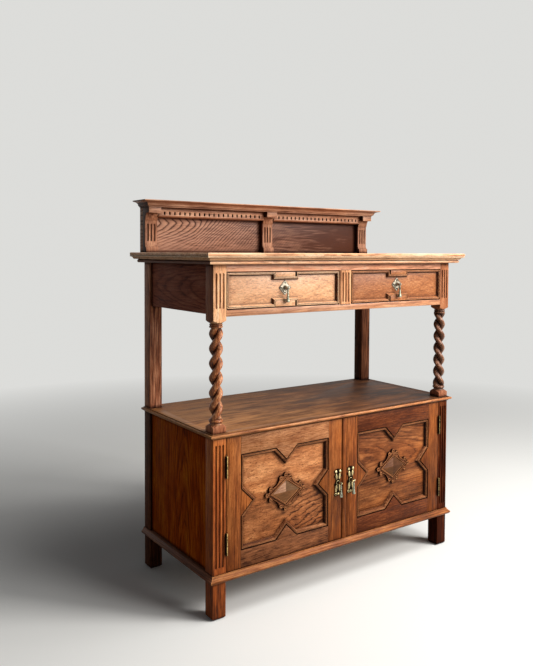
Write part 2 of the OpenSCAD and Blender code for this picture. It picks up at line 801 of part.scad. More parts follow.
slot_low = 7;
dentil_edge = 4;
dentil_bead = [8, 2];
module dentil_strip() {
    x0 = pilaster_w / 2 + glue;
    x1 = gallery_x - pilaster_w - glue;
    z0 = cornice_low - dentil_h;
    count = floor((x1 - x0 - slot_w - dentil_edge) / dentil_pitch);
    first = (x0 + x1 - (count - 1) * dentil_pitch) / 2;
    difference() {
        along_x([[y_gallery, z0 - dentil_bead[1]], [y_gallery - dentil_bead[0], z0],
            [y_dentil + dentil_edge, z0], [y_dentil, z0 + dentil_edge], [y_dentil, cornice_low],
            [y_gallery, cornice_low]], x0, x1);
        for (i = [0:count - 1]) translate([first + i * dentil_pitch, 0, z0 + slot_low])
            on_face(y_dentil + slot_depth) linear_extrude(slot_depth + cut) dentil_slot();
    }
}
module dentil_slot() {
    translate([-slot_w / 2, slot_w / 2]) square([slot_w, slot_h - slot_w]);
    for (y = [slot_w / 2, slot_h - slot_w / 2]) translate([0, y]) circle(slot_w / 2, $fn = 24);
}
module gallery_frieze() color(OAK) {
    for (x = [-pilaster_x, 0, pilaster_x])
        box([x - pilaster_w / 2, y_frieze, frieze_low], [x + pilaster_w / 2, y_gallery,
            cornice_low]);
    dentil_strip();
    right_hand() dentil_strip();
}
module gallery_cornice() color(OAK)
    moulded_board(crown_profile, cornice_low, gallery_x, y_frieze, y_top_back);

// Drawers
drawer_outline = let (a = drawer_mid_x - tab_w / 2 + mould_w, b = drawer_mid_x + tab_w / 2
    - mould_w, t = tab_h - mould_w)
    [[dx0, dz0], [a, dz0], [a, dz0 + t], [b, dz0 + t], [b, dz0], [dx1, dz0], [dx1, dz1],
    [b, dz1], [b, dz1 - t], [a, dz1 - t], [a, dz1], [dx0, dz1]];
drawer_profile = [[0, 0], [mould_w, 0], [mould_w, 2], [mould_w - 2, 2.6], [mould_w - 4, 4.4],
    [mould_w - 5, field_recess - 1.5], [mould_w - 6, field_recess], [0, field_recess]];
tab_slit = 2.5;
module drawer_front() {
    difference() {
        box([dx0, y_field, dz0], [dx1, y_front_back, dz1]);
        for (x = [[dx0 - cut, dx0 + wall_t], [dx1 - wall_t, dx1 + cut]])
            box([x[0], y_front_back - lap, dz0 - cut], [x[1], y_front_back + cut, wall_top]);
        drawer_floor_stock();
    }
}
module drawer_moulding() {
    on_face(y_field) mitred_ring(drawer_outline, drawer_profile);
    a = drawer_mid_x - tab_w / 2 + mould_w + tab_slit;
    b = drawer_mid_x + tab_w / 2 - mould_w - tab_slit;
    box([a, y_front, dz0], [b, y_field, dz0 + tab_h - mould_w - glue]);
    box([a, y_front, dz1 - tab_h + mould_w + glue], [b, y_field, dz1]);
}
module drawer_side(x) {
    difference() {
        box([x, y_front_back - lap, wall_low], [x + wall_t, y_drawer_end, wall_top]);
        drawer_floor_stock();
    }
}
module drawer_box() {
    drawer_side(dx0);
    drawer_side(dx1 - wall_t);
    box([dx0 + wall_t + glue, y_drawer_end - wall_t, floor_z + floor_t],
        [dx1 - wall_t - glue, y_drawer_end, wall_top - back_drop]);
}
module drawer_floor_stock() {
    box([dx0 + wall_t - floor_in, y_front_back - lap, floor_z],
        [dx1 - wall_t + floor_in, y_drawer_end, floor_z + floor_t]);
}

// Drop pull: a plate with a post and two ears, a pin through the ears and a drop on the pin
module pull_fork(x, z, y) {
    y_pin = y - pull_out;
    y_root = y_pin + eye_r + eye_play;
    ear_x = eye_t / 2 + ear_play;
    translate([x, y_root, z]) rotate([-90, 0, 0])
        cylinder(r1 = ear_x + ear_t, r2 = post_r, h = y - y_root + plate_t / 2);
    for (s = [-1, 1]) translate([x + s * (ear_x + ear_t / 2), 0, 0]) {
        translate([0, y_pin, z]) rotate([0, 90, 0]) cylinder(r = ear_r, h = ear_t, center = true);
        box([-ear_t / 2, y_pin, z - ear_r], [ear_t / 2, y_root + eye_play, z + ear_r]);
    }
    translate([x, y_pin, z]) rotate([0, 90, 0])
        cylinder(r = pull_pin_r, h = 2 * (ear_x + ear_t), center = true);
}
module pull_drop(x, z, y) {
    translate([x, y - pull_out, z]) difference() {
        union() {
            rotate([0, 90, 0]) cylinder(r = eye_r, h = eye_t, center = true);
            translate([0, 0, -drop_h]) rotate_extrude()
                polygon([[0, 0], [drop_r - 1, 0], [drop_r, 1.5], [drop_r * 0.86, 4],
                    [drop_r * 0.62, 9], [drop_r * 0.44, 15], [drop_r * 0.4, 20],
                    [drop_r * 0.5, drop_h - 14], [drop_r * 0.42, drop_h - 8],
                    [1.7, drop_h - eye_r + 1], [0, drop_h - eye_r + 1]]);
        }
        rotate([0, 90, 0]) cylinder(r = pull_pin_r + pin_play, h = eye_t + cut, center = true);
    }
}
drawer_pull_z = drawer_mid_z + drawer_pull_up;
drawer_plate_y = y_field - plate_t;
module drawer_plate() {
    z = drawer_pull_z;
    hole = plate_side * 0.5;
    translate([drawer_mid_x, 0, z]) on_face(y_field) linear_extrude(plate_t) difference() {
        rotate(45) square(plate_side, center = true);
        for (a = [0:90:270]) rotate(a) translate([hole, 0]) circle(screw_r, $fn = 16);
    }
    pull_fork(drawer_mid_x, z, drawer_plate_y);
}
module drawer_drop() {
    pull_drop(drawer_mid_x, drawer_pull_z, drawer_plate_y);
}

module left_drawer_front() color(OAK) drawer_front();
module left_drawer_moulding() color(OAK) drawer_moulding();
module left_drawer_box() color(OAK_PALE) drawer_box();
module left_drawer_bottom() color(OAK_PALE) drawer_floor_stock();
module left_drawer_plate() color(BRASS) drawer_plate();
module left_drawer_drop() color(BRASS) drawer_drop();
module right_drawer_front() color(OAK) right_hand() drawer_front();
module right_drawer_moulding() color(OAK) right_hand() drawer_moulding();
module right_drawer_box() color(OAK_PALE) right_hand() drawer_box();
module right_drawer_bottom() color(OAK_PALE) right_hand() drawer_floor_stock();
module right_drawer_plate() color(BRASS) right_hand() drawer_plate();
module right_drawer_drop() color(BRASS) right_hand() drawer_drop();

// Doors. A door is given by its outer edges and by the edges of its field.
field_z = [door_z0 + door_low, door_z1 - door_top];
module door_panel(field) {
    box([field[0] - groove, y_panel, field_z[0] - groove],
        [field[1] + groove, y_panel + panel_t, field_z[1] + groove]);
}
module door_rail_tenons(field, extra) {
    clear = groove + shoulder;
    for (z = [[door_z0 + door_shoulder, field_z[0] - clear],
            [field_z[1] + clear, door_z1 - door_shoulder]])
        box([field[0] - door_tenon - extra, y_panel, z[0]],
            [field[1] + door_tenon + extra, y_panel + panel_t, z[1]]);
}
module door_stiles(outer, field) {
    difference() {
        union() {
            box([outer[0], y_front, door_z0], [field[0], y_front + door_t, door_z1]);
            box([field[1], y_front, door_z0], [outer[1], y_front + door_t, door_z1]);
        }
        door_panel(field);
        door_rail_tenons(field, tenon_room);
        hinge_recess(-1);
        hinge_recess(1);
    }
}
module door_rails(field) {
    difference() {
        union() {
            box([field[0], y_front, door_z0], [field[1], y_front + door_t, field_z[0]]);
            box([field[0], y_front, field_z[1]], [field[1], y_front + door_t, door_z1]);
            door_rail_tenons(field, 0);
        }
        door_panel(field);
    }
}
function star_path(field) = let (mx = (field[0] + field[1]) / 2, mz = (field_z[0] + field_z[1]) / 2,
    x0 = field[0], x1 = field[1], z0 = field_z[0], z1 = field_z[1], c = star_cut)
    [[x0, z0], [mx - c, z0], [mx, z0 + c], [mx + c, z0], [x1, z0], [x1, mz - c], [x1 - c, mz],
    [x1, mz + c], [x1, z1], [mx + c, z1], [mx, z1 - c], [mx - c, z1], [x0, z1], [x0, mz + c],
    [x0 + c, mz], [x0, mz - c]];
star_top = panel_recess - 1.5;
star_profile = [[glue, 0], [star_w, 0], [star_w, 2], [star_w - 2.5, 2.8],
    [star_w - 5, star_top * 0.6], [star_w - 7, star_top - 1], [star_w - 9, star_top],
    [glue, star_top]];
module door_moulding(field) {
    path = star_path(field);
    on_face(y_panel) mitred_ring(path, star_profile);
    on_face(y_panel) linear_extrude(panel_recess)
        for (i = [1, 5, 9, 13]) polygon([path[i], path[i + 1], path[i + 2]]);
}
// Pyramid in a rhombic frame on carved strapwork
boss_rim = [[0, 0], [6, 0], [5, 3.5], [2.5, 5], [0, 4]];
rim_in = 4.5;
module door_boss(field) {
    side = norm([boss_x, boss_z]);
    px = boss_x - rim_in * side / boss_z;
    pz = boss_z - rim_in * side / boss_x;
    translate([(field[0] + field[1]) / 2, 0, (field_z[0] + field_z[1]) / 2]) {
        on_face(y_panel) linear_extrude(strap_t) boss_outline();
        on_face(y_panel - strap_t + cut) mitred_ring([[boss_x, 0], [0, boss_z], [-boss_x, 0],
            [0, -boss_z]], boss_rim);
        on_face(y_panel - strap_t + cut) polyhedron(
            points = [[px, 0, 0], [0, pz, 0], [-px, 0, 0], [0, -pz, 0],
                [0, 0, boss_up - strap_t + cut]],
            faces = [[0, 1, 2, 3], [0, 4, 1], [1, 4, 2], [2, 4, 3], [3, 4, 0]]);
    }
}
// Strapwork: two scrolls and a round tip at each point of the pyramid
tip_r = 7;
scroll_at = 17;
module boss_outline() {
    tip = strap_out - tip_r;
    quarter = [[boss_x + tip, 0], [boss_x + 6, 6], [boss_x - 2, scroll_at], [boss_x - 20, 24],
        [scroll_at + 4, boss_z - 2], [scroll_at, boss_z + 4], [6, boss_z + 4]];
    for (s = [0, 1], t = [0, 1]) mirror([s, 0]) mirror([0, t]) {
        polygon(concat([[0, 0]], quarter, [[0, boss_z + tip]]));
        translate([boss_x - 1, scroll_at]) circle(scroll_r);
        translate([scroll_at, boss_z + 5]) circle(scroll_r);
    }
    for (s = [-1, 1]) {
        translate([s * (boss_x + tip), 0]) circle(tip_r);
        translate([0, s * (boss_z + tip)]) circle(tip_r);
    }
}

// Butt hinges. The frame leaf carries the pin, the door leaf turns on it.
module hinge_recess(s) {
    for (z = hinge_z)
        box([s * hinge_x - leaf_play / 2 - leaf_t, y_front - cut, z],
            [s * hinge_x + leaf_play / 2 + leaf_t, y_front + leaf_w, z + hinge_h]);
}
module leaf(s, side, z, first, last) {
    x = s * hinge_x;
    inner = side * leaf_play / 2;
    outer = side * (leaf_play / 2 + leaf_t);
    box([x + min(inner, outer), y_front, z], [x + max(inner, outer), y_front + leaf_w,
        z + hinge_h]);
    for (i = [first:2:last]) {
        z0 = z + i * knuckle_h + (i == 0 ? 0 : knuckle_play / 2);
        z1 = z + (i + 1) * knuckle_h - (i == knuckles - 1 ? 0 : knuckle_play / 2);
        translate([x, hinge_y, z0]) cylinder(r = knuckle_r, h = z1 - z0);
        box([x + min(inner, outer), hinge_y, z0], [x + max(inner, outer), y_front + cut, z1]);
    }
}
module frame_leaf(s, z) {
    leaf(s, s, z, 0, knuckles - 1);
    translate([s * hinge_x, hinge_y, z]) cylinder(r = pin_r, h = hinge_h);
}
module hinge_frame_leaves() color(BRASS) for (s = [-1, 1], z = hinge_z) frame_leaf(s, z);
module door_leaves(s) {
    difference() {
        for (z = hinge_z) leaf(s, -s, z, 1, knuckles - 2);
        for (z = hinge_z) translate([s * hinge_x, hinge_y, z - cut])
            cylinder(r = pin_r + pin_play, h = hinge_h + 2 * cut);
    }
}

// Door plates: a scrolled top, a ring for the drop and a spread foot
module door_plate_outline() {
    h = plate_h / 2;
    w = plate_w / 2;
    difference() {
        union() {
            for (s = [-1, 1]) {
                translate([s * (w - 6), h - 8]) circle(6);
                translate([s * (w - 5), h - 24]) circle(5);
                translate([s * (w - 5), -h + 6]) circle(5);
                translate([s * (w - 6.5), -6]) circle(6.5);
            }
            translate([0, h - 6]) circle(6);
            polygon([[-w + 6, h - 4], [w - 6, h - 4], [w - 6, 8], [w - 3, -6], [w - 7, -20],
                [w - 3, -h + 6], [0, -h + 1], [-w + 3, -h + 6], [-w + 7, -20], [-w + 3, -6],
                [-w + 6, 8]]);
        }
        for (s = [-1, 1]) {
            translate([s * 5, h - 20]) scale([0.6, 1]) circle(4);
            translate([s * 5, -h + 20]) scale([0.6, 1]) circle(5);
        }
        for (s = [-1, 1]) translate([0, s * (h - 7)]) circle(screw_r, $fn = 16);
    }
}
module door_plate(x) {
    translate([x, 0, door_plate_z]) on_face(y_front)
        linear_extrude(plate_t) door_plate_outline();
    pull_fork(x, door_plate_z, y_front - plate_t);
}
module door_drop(x) {
    pull_drop(x, door_plate_z, y_front - plate_t);
}

module left_door_stiles() color(OAK) door_stiles(left_x, left_field);
module left_door_rails() color(OAK) door_rails(left_field);
module left_door_panel() color(OAK) door_panel(left_field);
module left_door_moulding() color(OAK) door_moulding(left_field);
module left_door_boss() color(OAK) door_boss(left_field);
module left_door_hinge_leaves() color(BRASS) door_leaves(-1);
module left_door_plate() color(BRASS) door_plate(left_pull_x);
module left_door_drop() color(BRASS) door_drop(left_pull_x);
right_frame = [right_x[0] + bead_w, right_x[1]];
module right_door_stiles() color(OAK) door_stiles(right_frame, right_field);
module right_door_rails() color(OAK) door_rails(right_field);
module right_door_panel() color(OAK) door_panel(right_field);
module right_door_moulding() color(OAK) door_moulding(right_field);
module right_door_boss() color(OAK) door_boss(right_field);
module right_door_hinge_leaves() color(BRASS) door_leaves(1);
module right_door_plate() color(BRASS) door_plate(right_pull_x);
module right_door_drop() color(BRASS) door_drop(right_pull_x);
// Reeded strip glued to the meeting edge of the right door
module right_door_bead() color(OAK) {
    w = bead_w;
    translate([right_x[0], 0, door_z0]) linear_extrude(door_z1 - door_z0)
        polygon(concat([[0, y_front + door_t], [0, y_front + 1]],
            [for (i = [0:8]) let (a = 180 * i / 8)
                [w / 2 - (w / 2 - 1.5) * cos(a), y_front - bead_up * sin(a)]],
            [[w, y_front + 1], [w, y_front + door_t]]));
}

front_left_leg();
front_right_leg();
rear_left_leg();
rear_right_leg();
bottom_rails();
bottom_board();
base_moulding();
lower_side_panels();
cabinet_back();
serving_board();
inner_shelf();
shelf_bearers();
door_stop();
door_catches();
hinge_frame_leaves();
left_column();
right_column();
rear_left_post();
rear_right_post();
upper_side_panels();
drawer_case_back();
drawer_top_rail();
drawer_bottom_rail();
centre_muntin();
drawer_runners();
top_bed_moulding();
top_board();
gallery_back();
gallery_pilasters();
gallery_frieze();
gallery_cornice();
left_drawer_front();
left_drawer_moulding();
left_drawer_box();
left_drawer_bottom();
left_drawer_plate();
left_drawer_drop();
right_drawer_front();
right_drawer_moulding();
right_drawer_box();
right_drawer_bottom();
right_drawer_plate();
right_drawer_drop();
left_door_stiles();
left_door_rails();
left_door_panel();
left_door_moulding();
left_door_boss();
left_door_hinge_leaves();
left_door_plate();
left_door_drop();
right_door_stiles();
right_door_rails();
right_door_panel();
right_door_moulding();
right_door_boss();
right_door_hinge_leaves();
right_door_plate();
right_door_drop();
right_door_bead();
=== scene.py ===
import math

import bpy
from mathutils import Matrix, Vector


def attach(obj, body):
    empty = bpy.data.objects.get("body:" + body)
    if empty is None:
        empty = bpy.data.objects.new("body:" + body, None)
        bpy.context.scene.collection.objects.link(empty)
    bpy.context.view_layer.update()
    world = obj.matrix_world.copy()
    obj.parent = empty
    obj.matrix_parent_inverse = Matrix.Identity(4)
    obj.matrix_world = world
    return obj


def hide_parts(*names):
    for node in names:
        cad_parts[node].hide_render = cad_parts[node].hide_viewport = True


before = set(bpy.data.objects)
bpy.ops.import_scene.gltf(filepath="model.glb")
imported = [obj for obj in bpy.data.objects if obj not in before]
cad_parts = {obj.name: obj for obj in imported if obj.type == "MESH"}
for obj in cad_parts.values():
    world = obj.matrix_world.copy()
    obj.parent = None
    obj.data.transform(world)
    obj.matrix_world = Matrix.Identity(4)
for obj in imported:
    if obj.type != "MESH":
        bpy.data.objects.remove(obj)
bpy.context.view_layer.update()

# Camera
# Stands left of the front at the height of the top board and looks almost level, so that the
# front, the left side and a little of the serving board show.
PHOTO_HEIGHT, FOCAL_LENGTH, RISE = 666, 704.31, -54.57  # in pixels
STAND = (-1.52622, -1.96084, 1.07612)
turn, tilt, lean = (math.radians(a) for a in (34.88, -2.1, 0.26))
ahead = Vector((math.sin(turn) * math.cos(tilt), math.cos(turn) * math.cos(tilt),
                math.sin(tilt)))
level = Vector((math.cos(turn), -math.sin(turn), 0))
upward = level.cross(ahead)
right = level * math.cos(lean) + upward * math.sin(lean)
top = upward * math.cos(lean) - level * math.sin(lean)
camera = bpy.data.objects.new("camera", bpy.data.cameras.new("camera"))
camera.matrix_world = Matrix.Translation(STAND) @ Matrix(
    (right, top, -ahead)).transposed().to_4x4()
camera.data.sensor_width = 36
camera.data.lens = FOCAL_LENGTH * camera.data.sensor_width / PHOTO_HEIGHT
camera.data.shift_y = RISE / PHOTO_HEIGHT
bpy.context.scene.collection.objects.link(camera)
bpy.context.scene.camera = camera

# Legs
# Four square legs of stained oak with the grain upright. Each front leg has three flutes run
# with a router on its face, and every foot is chamfered. The rear pair is darker, and the right
# front leg and right rear post take darker copies of their finishes: painted shade.
OAK, DARK_OAK, INNER_OAK, BRASS = "polished_oak", "dark_oak", "inner_oak", "aged_brass"


def only(piece):
    """Leaves one piece selected and active, in object mode."""
    bpy.ops.object.select_all(action="DESELECT")
    piece.select_set(True)
    bpy.context.view_layer.objects.active = piece


def edit_all():
    """Goes into edit mode with everything selected."""
    bpy.ops.object.mode_set(mode="EDIT")
    bpy.ops.mesh.select_all(action="SELECT")


def smooth(angle):
    """Shades a piece smooth but for the edges that are sharper than an angle in degrees."""
    bpy.ops.object.shade_smooth_by_angle(angle=math.radians(angle))


def choose(piece, rule):
    """Gives each face the finish with the number that a rule says, if it says one."""
    for face in piece.data.polygons:
        number = rule(face)
        if number is not None:
            face.material_index = number


def ease(piece, arris, fine=0.25, angle=30):
    """Eases the sharp arrises of a piece: the long ones by arris millimetres, short ones less."""
    only(piece)
    weights = piece.data.attributes.new("bevel_weight_edge", "FLOAT", "EDGE")
    flat = {}
    for face in piece.data.polygons:
        for key in face.edge_keys:
            flat.setdefault(key, []).append(face.normal.copy())
    for edge in piece.data.edges:
        sides = flat.get(tuple(sorted(edge.vertices)), [])
        if len(sides) == 2 and sides[0].angle(sides[1], 0) > math.radians(angle):
            a, b = (piece.data.vertices[i].co for i in edge.vertices)
            weights.data[edge.index].value = 1 if (a - b).length > 0.009 else fine
    bevel = piece.modifiers.new("arris", "BEVEL")
    bevel.width = arris / 1000
    bevel.segments = 2
    bevel.limit_method = "WEIGHT"
    bevel.use_clamp_overlap = False
    bpy.ops.object.modifier_apply(modifier="arris")
    smooth(angle)


def planed(node, arris=0.8, fine=0.25, cutters=()):
    """A board as the frame has it, with its faces made whole and its arrises eased. What the
    cutters overlap is cut away first."""
    piece = bpy.data.objects.new(node + "_worked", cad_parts[node].data.copy())
    bpy.context.scene.collection.objects.link(piece)
    only(piece)
    bpy.ops.mesh.customdata_custom_splitnormals_clear()
    edit_all()
    bpy.ops.mesh.remove_doubles(threshold=0.00001)
    bpy.ops.mesh.dissolve_limited(angle_limit=math.radians(1))
    bpy.ops.object.mode_set(mode="OBJECT")
    for cutter in cutters:
        cut = piece.modifiers.new("cut", "BOOLEAN")
        cut.operation = "DIFFERENCE"
        cut.object = cutter
        bpy.ops.object.modifier_apply(modifier="cut")
        bpy.data.objects.remove(cutter)
    ease(piece, arris, fine)
    return piece


def give(piece, finishes):
    """Gives a piece its finishes, of which each face keeps the one with its number."""
    chosen = [face.material_index for face in piece.data.polygons]
    piece.data.materials.clear()
    for finish in finishes:
        piece.data.materials.append(finish)
    piece.data.polygons.foreach_set("material_index", chosen)


def fit(piece, finishes, *nodes, body="carcass", slot=OAK):
    """Gives a piece its finishes and sets it on its body in place of its nodes. A planed board
    takes the place of its own node."""
    nodes = nodes or [piece.name.removesuffix("_worked")]
    give(piece, finishes)
    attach(piece, body)
    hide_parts(*nodes)


class Finish:
    """The finish of a material or of the room, being mixed. Each step adds one shader node and
    gives what comes out of it."""

    def __init__(self, owner):
        self.owner = owner
        owner.use_nodes = True
        self.tree = owner.node_tree
        self.tree.nodes.clear()

    def step(self, kind, out, inputs={}, **settings):
        node = self.tree.nodes.new("ShaderNode" + kind)
        for key, value in settings.items():
            setattr(node, key, value)
        for key, value in inputs.items():
            if isinstance(value, bpy.types.NodeSocket):
                self.tree.links.new(value, node.inputs[key])
            else:
                node.inputs[key].default_value = value
        return node.outputs[out]

    def sum(self, how, *values):
        return self.step("Math", 0, dict(enumerate(values)), operation=how)

    def times(self, a, b):
        return self.sum("MULTIPLY", a, b)

    def scaled(self, value, by, plus):
        """A value times another, plus a third."""
        return self.sum("MULTIPLY_ADD", value, by, plus)

    def spot(self, how, *values):
        return self.step("VectorMath", 0, dict(enumerate(values)), operation=how)

    def mix(self, how, amount, a, b):
        return self.step("Mix", 2, {0: amount, 6: a, 7: b}, data_type="RGBA", blend_type=how)

    def ramp(self, amount, *stops):
        """Colours or values between stops, each given as (place, value)."""
        out = self.step("ValToRGB", 0, {0: amount})
        ramp = out.node.color_ramp
        while len(ramp.elements) < len(stops):
            ramp.elements.new(1)
        for element, (place, value) in zip(ramp.elements, stops):
            element.position = place
            element.color = value if isinstance(value, tuple) else (value, value, value, 1)
        return out

    def noise(self, where, stretch, detail=2, rough=0.5, seed=0):
        """Soft noise, stretched by so many waves a metre along, across and through a board."""
        place = self.spot("MULTIPLY_ADD", where, stretch, (seed, 1.7 * seed, 2.3 * seed))
        return self.step("TexNoise", "Fac", {
            "Vector": place, "Scale": 1, "Detail": detail, "Roughness": rough})

    def shown(self):
        """1 where the camera sees a surface, straight or in metal or glass, and otherwise 0."""
        ways = [self.step("LightPath", "Is %s Ray" % way)
                for way in ("Camera", "Glossy", "Transmission")]
        return self.sum("MAXIMUM", ways[0], self.sum("MAXIMUM", *ways[1:]))

    def close(self, shader, end="Material"):
        """Ends the mix with a shader."""
        out = self.tree.nodes.new("ShaderNodeOutput" + end)
        self.tree.links.new(shader, out.inputs["Surface"])
        return self.owner

    def done(self, inputs):
        """Ends the mix with a principled shader."""
        return self.close(self.step("BsdfPrincipled", 0, inputs))


def tint(red, green, blue):
    """A colour as a paint card gives it, from 0 to 255."""
    return tuple(((c / 255 + 0.055) / 1.055) ** 2.4 if c > 10 else c / 3295
                 for c in (red, green, blue)) + (1,)


def oak(name, lie, middle, tones, figure=None, pitch=5.5, heart=(20, 60), slant=(0.01, 0.03),
        rings=0.2, fibre=(12, 190), streaks=0.4, fleck=(45, 210), flecks=0.5, stain=0.35,
        glow=0.3, painted_falloff=(0, 0), dirt_and_shade=0.96, wear_and_highlight=0.4, shine=(0.5, 0.12), reach=12, seed=1):
    """Stained and waxed oak. lie names the axes along the grain, across and through the board;
    middle is the board's middle in millimetres; heart is where the middle of the tree lies,
    across and behind the board, and slant how it leans away along the grain. Streaks run with
    the fibre, flecks are the short dark pores and rays, stain and glow the old polish in
    patches, painted_falloff how much darker the tone is painted in a metre to the right and
    downwards, as painted shade where the light falls off. Corners darken as far as reach by
    dirt_and_shade, partly old dirt and partly painted shade, and arrises lighten by
    wear_and_highlight, partly wear and partly painted highlight. shine is roughness and gloss."""
    f = Finish(bpy.data.materials.new(name + "_oak"))
    place = f.step("TexCoord", "Object")
    place = f.spot("SUBTRACT", place, [m / 1000 for m in middle])
    split = f.step("SeparateXYZ", 0, {0: place}).node
    along, across, deep = (split.outputs[a] for a in lie)
    wood = f.step("CombineXYZ", 0, {0: along, 1: across, 2: deep})
    if figure:
        year, bold, lift = figure(f, wood, along, across)
    else:
        drift = f.noise(wood, (2.5, 11, 11), 3, 0.55, seed)
        drift = f.scaled(drift, 0.05, -0.025)
        ripple = f.noise(wood, (14, 70, 70), 2, 0.6, seed + 3)
        side = f.scaled(along, -slant[0], drift)
        side = f.sum("ADD", f.sum("ADD", across, side), -heart[0] / 1000)
        depth = f.scaled(along, slant[1], f.sum("ADD", deep, heart[1] / 1000))
        away = f.sum("SQRT", f.scaled(side, side, f.times(depth, depth)))
        years = f.scaled(ripple, 0.7, f.times(away, 1000 / pitch))
        swing = f.step("TexNoise", "Fac", {"W": f.times(away, 90), "Scale": 1, "Detail": 1},
                       noise_dimensions="1D")
        year, bold, lift = f.scaled(swing, 2, years), rings, 0.5
    ring = f.ramp(f.sum("FRACT", year), (0, 0), (0.1, 0.1), (0.3, 0.75), (0.75, 1), (1, 0.6))
    streak = f.noise(wood, (fibre[0], fibre[1], fibre[1]), 3, 0.55, seed + 7)
    patch = f.noise(wood, (9, 26, 26), 4, 0.6, seed + 11)
    dash = f.noise(wood, (fleck[0], fleck[1], fleck[1]), 5, 0.68, seed + 13)
    tone = f.scaled(f.sum("SUBTRACT", ring, 0.66), bold, lift)
    tone = f.scaled(f.sum("SUBTRACT", streak, 0.5), streaks * 3, tone)
    tone = f.scaled(f.sum("SUBTRACT", patch, 0.5), stain * 3, tone)
    tone = f.scaled(f.sum("SUBTRACT", dash, 0.5), flecks * 1.3, tone)
    # Painted shade: the tone darkens in a metre to the right and downwards, as where the light
    # falls off.
    tone = f.scaled(split.outputs["X"], -painted_falloff[0], tone)
    tone = f.scaled(split.outputs["Z"], painted_falloff[1], tone)
    dark, mid, light = (tint(*t) for t in tones)
    colour = f.ramp(tone, (0, dark), (0.5, mid), (1, light))
    warm = f.ramp(f.noise(wood, (4, 12, 12), 3, 0.6, seed + 17), (0.42, 0), (0.62, glow))
    colour = f.mix("MULTIPLY", warm, colour, (1.12, 0.9, 0.62, 1))
    pore = f.ramp(f.scaled(ring, -0.05, dash), (0.51, 0), (0.57, flecks))
    colour = f.mix("MULTIPLY", pore, colour, (0.34, 0.24, 0.2, 1))
    # Corners and hollows darken towards near black, as far as reach: partly old dirt, partly
    # painted shade.
    hollow = f.step("AmbientOcclusion", "AO", {"Distance": reach / 1000}, samples=6)
    dirt_and_shade_mask = f.ramp(hollow, (0.4, dirt_and_shade), (0.63, dirt_and_shade * 0.85), (0.82, dirt_and_shade * 0.35), (0.97, 0))
    colour = f.mix("MULTIPLY", dirt_and_shade_mask, colour, (0.1, 0.045, 0.035, 1))
    # Arrises lighten towards the light tone: partly wear, partly a painted highlight.
    edge = f.step("AmbientOcclusion", "AO", {"Distance": 0.003}, samples=6, inside=True)
    light_edge = f.ramp(edge, (0.3, wear_and_highlight), (0.6, 0))
    colour = f.mix("MIX", light_edge, colour, tint(*(min(255, c * 1.08) for c in tones[2])))
    height = f.scaled(streak, 0.6, f.times(ring, 0.25))
    height = f.scaled(pore, -0.8, height)
    bump = f.step("Bump", 0, {"Strength": 0.35, "Distance": 0.0006, "Height": height})
    rough = f.scaled(streak, 0.2, shine[0] - 0.1)
    rough = f.scaled(dirt_and_shade_mask, 0.2, rough)
    return f.done({
        "Base Color": colour, "Roughness": rough, "Normal": bump, "Specular IOR Level": shine[1]})


FRAME_TONES = (62, 25, 9), (166, 85, 37), (224, 138, 72)
DARK_TONES = (44, 22, 14), (102, 62, 43), (146, 98, 72)
# Painted shade: the front legs darken downwards, where the light is made to fall off.
leg_oak = oak(
    "leg", "ZXY", (-478, -201, 300), FRAME_TONES, heart=(30, 60), painted_falloff=(0, 0.8), seed=2)
# A darker copy of the leg finish for the right front leg: painted shade for light that falls off
# to the right.
shaded_far_leg_oak = oak(
    "far_leg", "ZXY", (478, -201, 300), ((32, 12, 5), (72, 28, 11), (120, 64, 34)),
    heart=(30, 60), rings=0.25, streaks=0.6, painted_falloff=(0, 0.8), shine=(0.55, 0.03), seed=3)
rear_oak = oak(
    "rear", "ZXY", (-478, 215, 600), ((64, 30, 17), (172, 108, 78), (226, 170, 134)),
    heart=(30, 60), rings=0.3, streaks=0.75, seed=4)
# Darker finish of the rear legs and the right rear post; on the post it is painted shade for
# light that falls off to the right, beside the lighter left post.
dark_and_shaded_rear_oak = oak(
    "far_rear", "ZXY", (478, 215, 600), ((32, 14, 8), (76, 42, 26), (118, 74, 50)),
    heart=(30, 60), rings=0.3, streaks=0.75, shine=(0.55, 0.05), seed=5)
leg_side_oak = oak(
    "leg_side", "ZYX", (500, -201, 300), ((52, 24, 11), (112, 64, 34), (168, 108, 66)),
    heart=(30, 90), seed=3)
for node, finish in (("front_left_leg", leg_oak), ("front_right_leg", shaded_far_leg_oak)):
    leg = planed(node, 1.2)
    choose(leg, lambda face: int(face.normal.x > 0.7 and face.center.x > 0))
    fit(leg, [finish, leg_side_oak])
for node, finish in (("rear_left_leg", dark_and_shaded_rear_oak), ("rear_right_leg", dark_and_shaded_rear_oak),
                     ("rear_left_post", rear_oak), ("rear_right_post", dark_and_shaded_rear_oak)):
    fit(planed(node, 1.2), [finish], slot=DARK_OAK)

# Floor of the cupboard
# Four rails tenoned into the legs, an unpolished board held in their grooves and, outside,
# a half-round moulding in three mitred strips glued to the rails.
rail_oak = oak(
    "rail", "XZY", (0, -209, 123), FRAME_TONES, heart=(0, 90), rings=0.35, wear_and_highlight=0.8,
    shine=(0.42, 0.14), seed=6)
# Painted shade: the base moulding darkens to the right.
base_oak = oak(
    "base", "XZY", (0, -226, 123), ((58, 26, 12), (142, 82, 42), (212, 144, 86)),
    heart=(0, 90), streaks=0.3, painted_falloff=(0.2, 0), wear_and_highlight=0.9, shine=(0.42, 0.15), seed=6)
side_rail_oak = oak(
    "side_rail", "YZX", (-486, 7, 123), DARK_TONES, heart=(0, 90), rings=0.35, seed=7)
inner_oak = oak(
    "inner", "XYZ", (0, 0, 130), ((112, 74, 42), (170, 126, 80), (204, 164, 116)),
    heart=(40, 70), rings=0.35, dirt_and_shade=0.7, shine=(0.6, 0.3), seed=8)
X_OUT, FRONT, BACK = 500, -223, 237


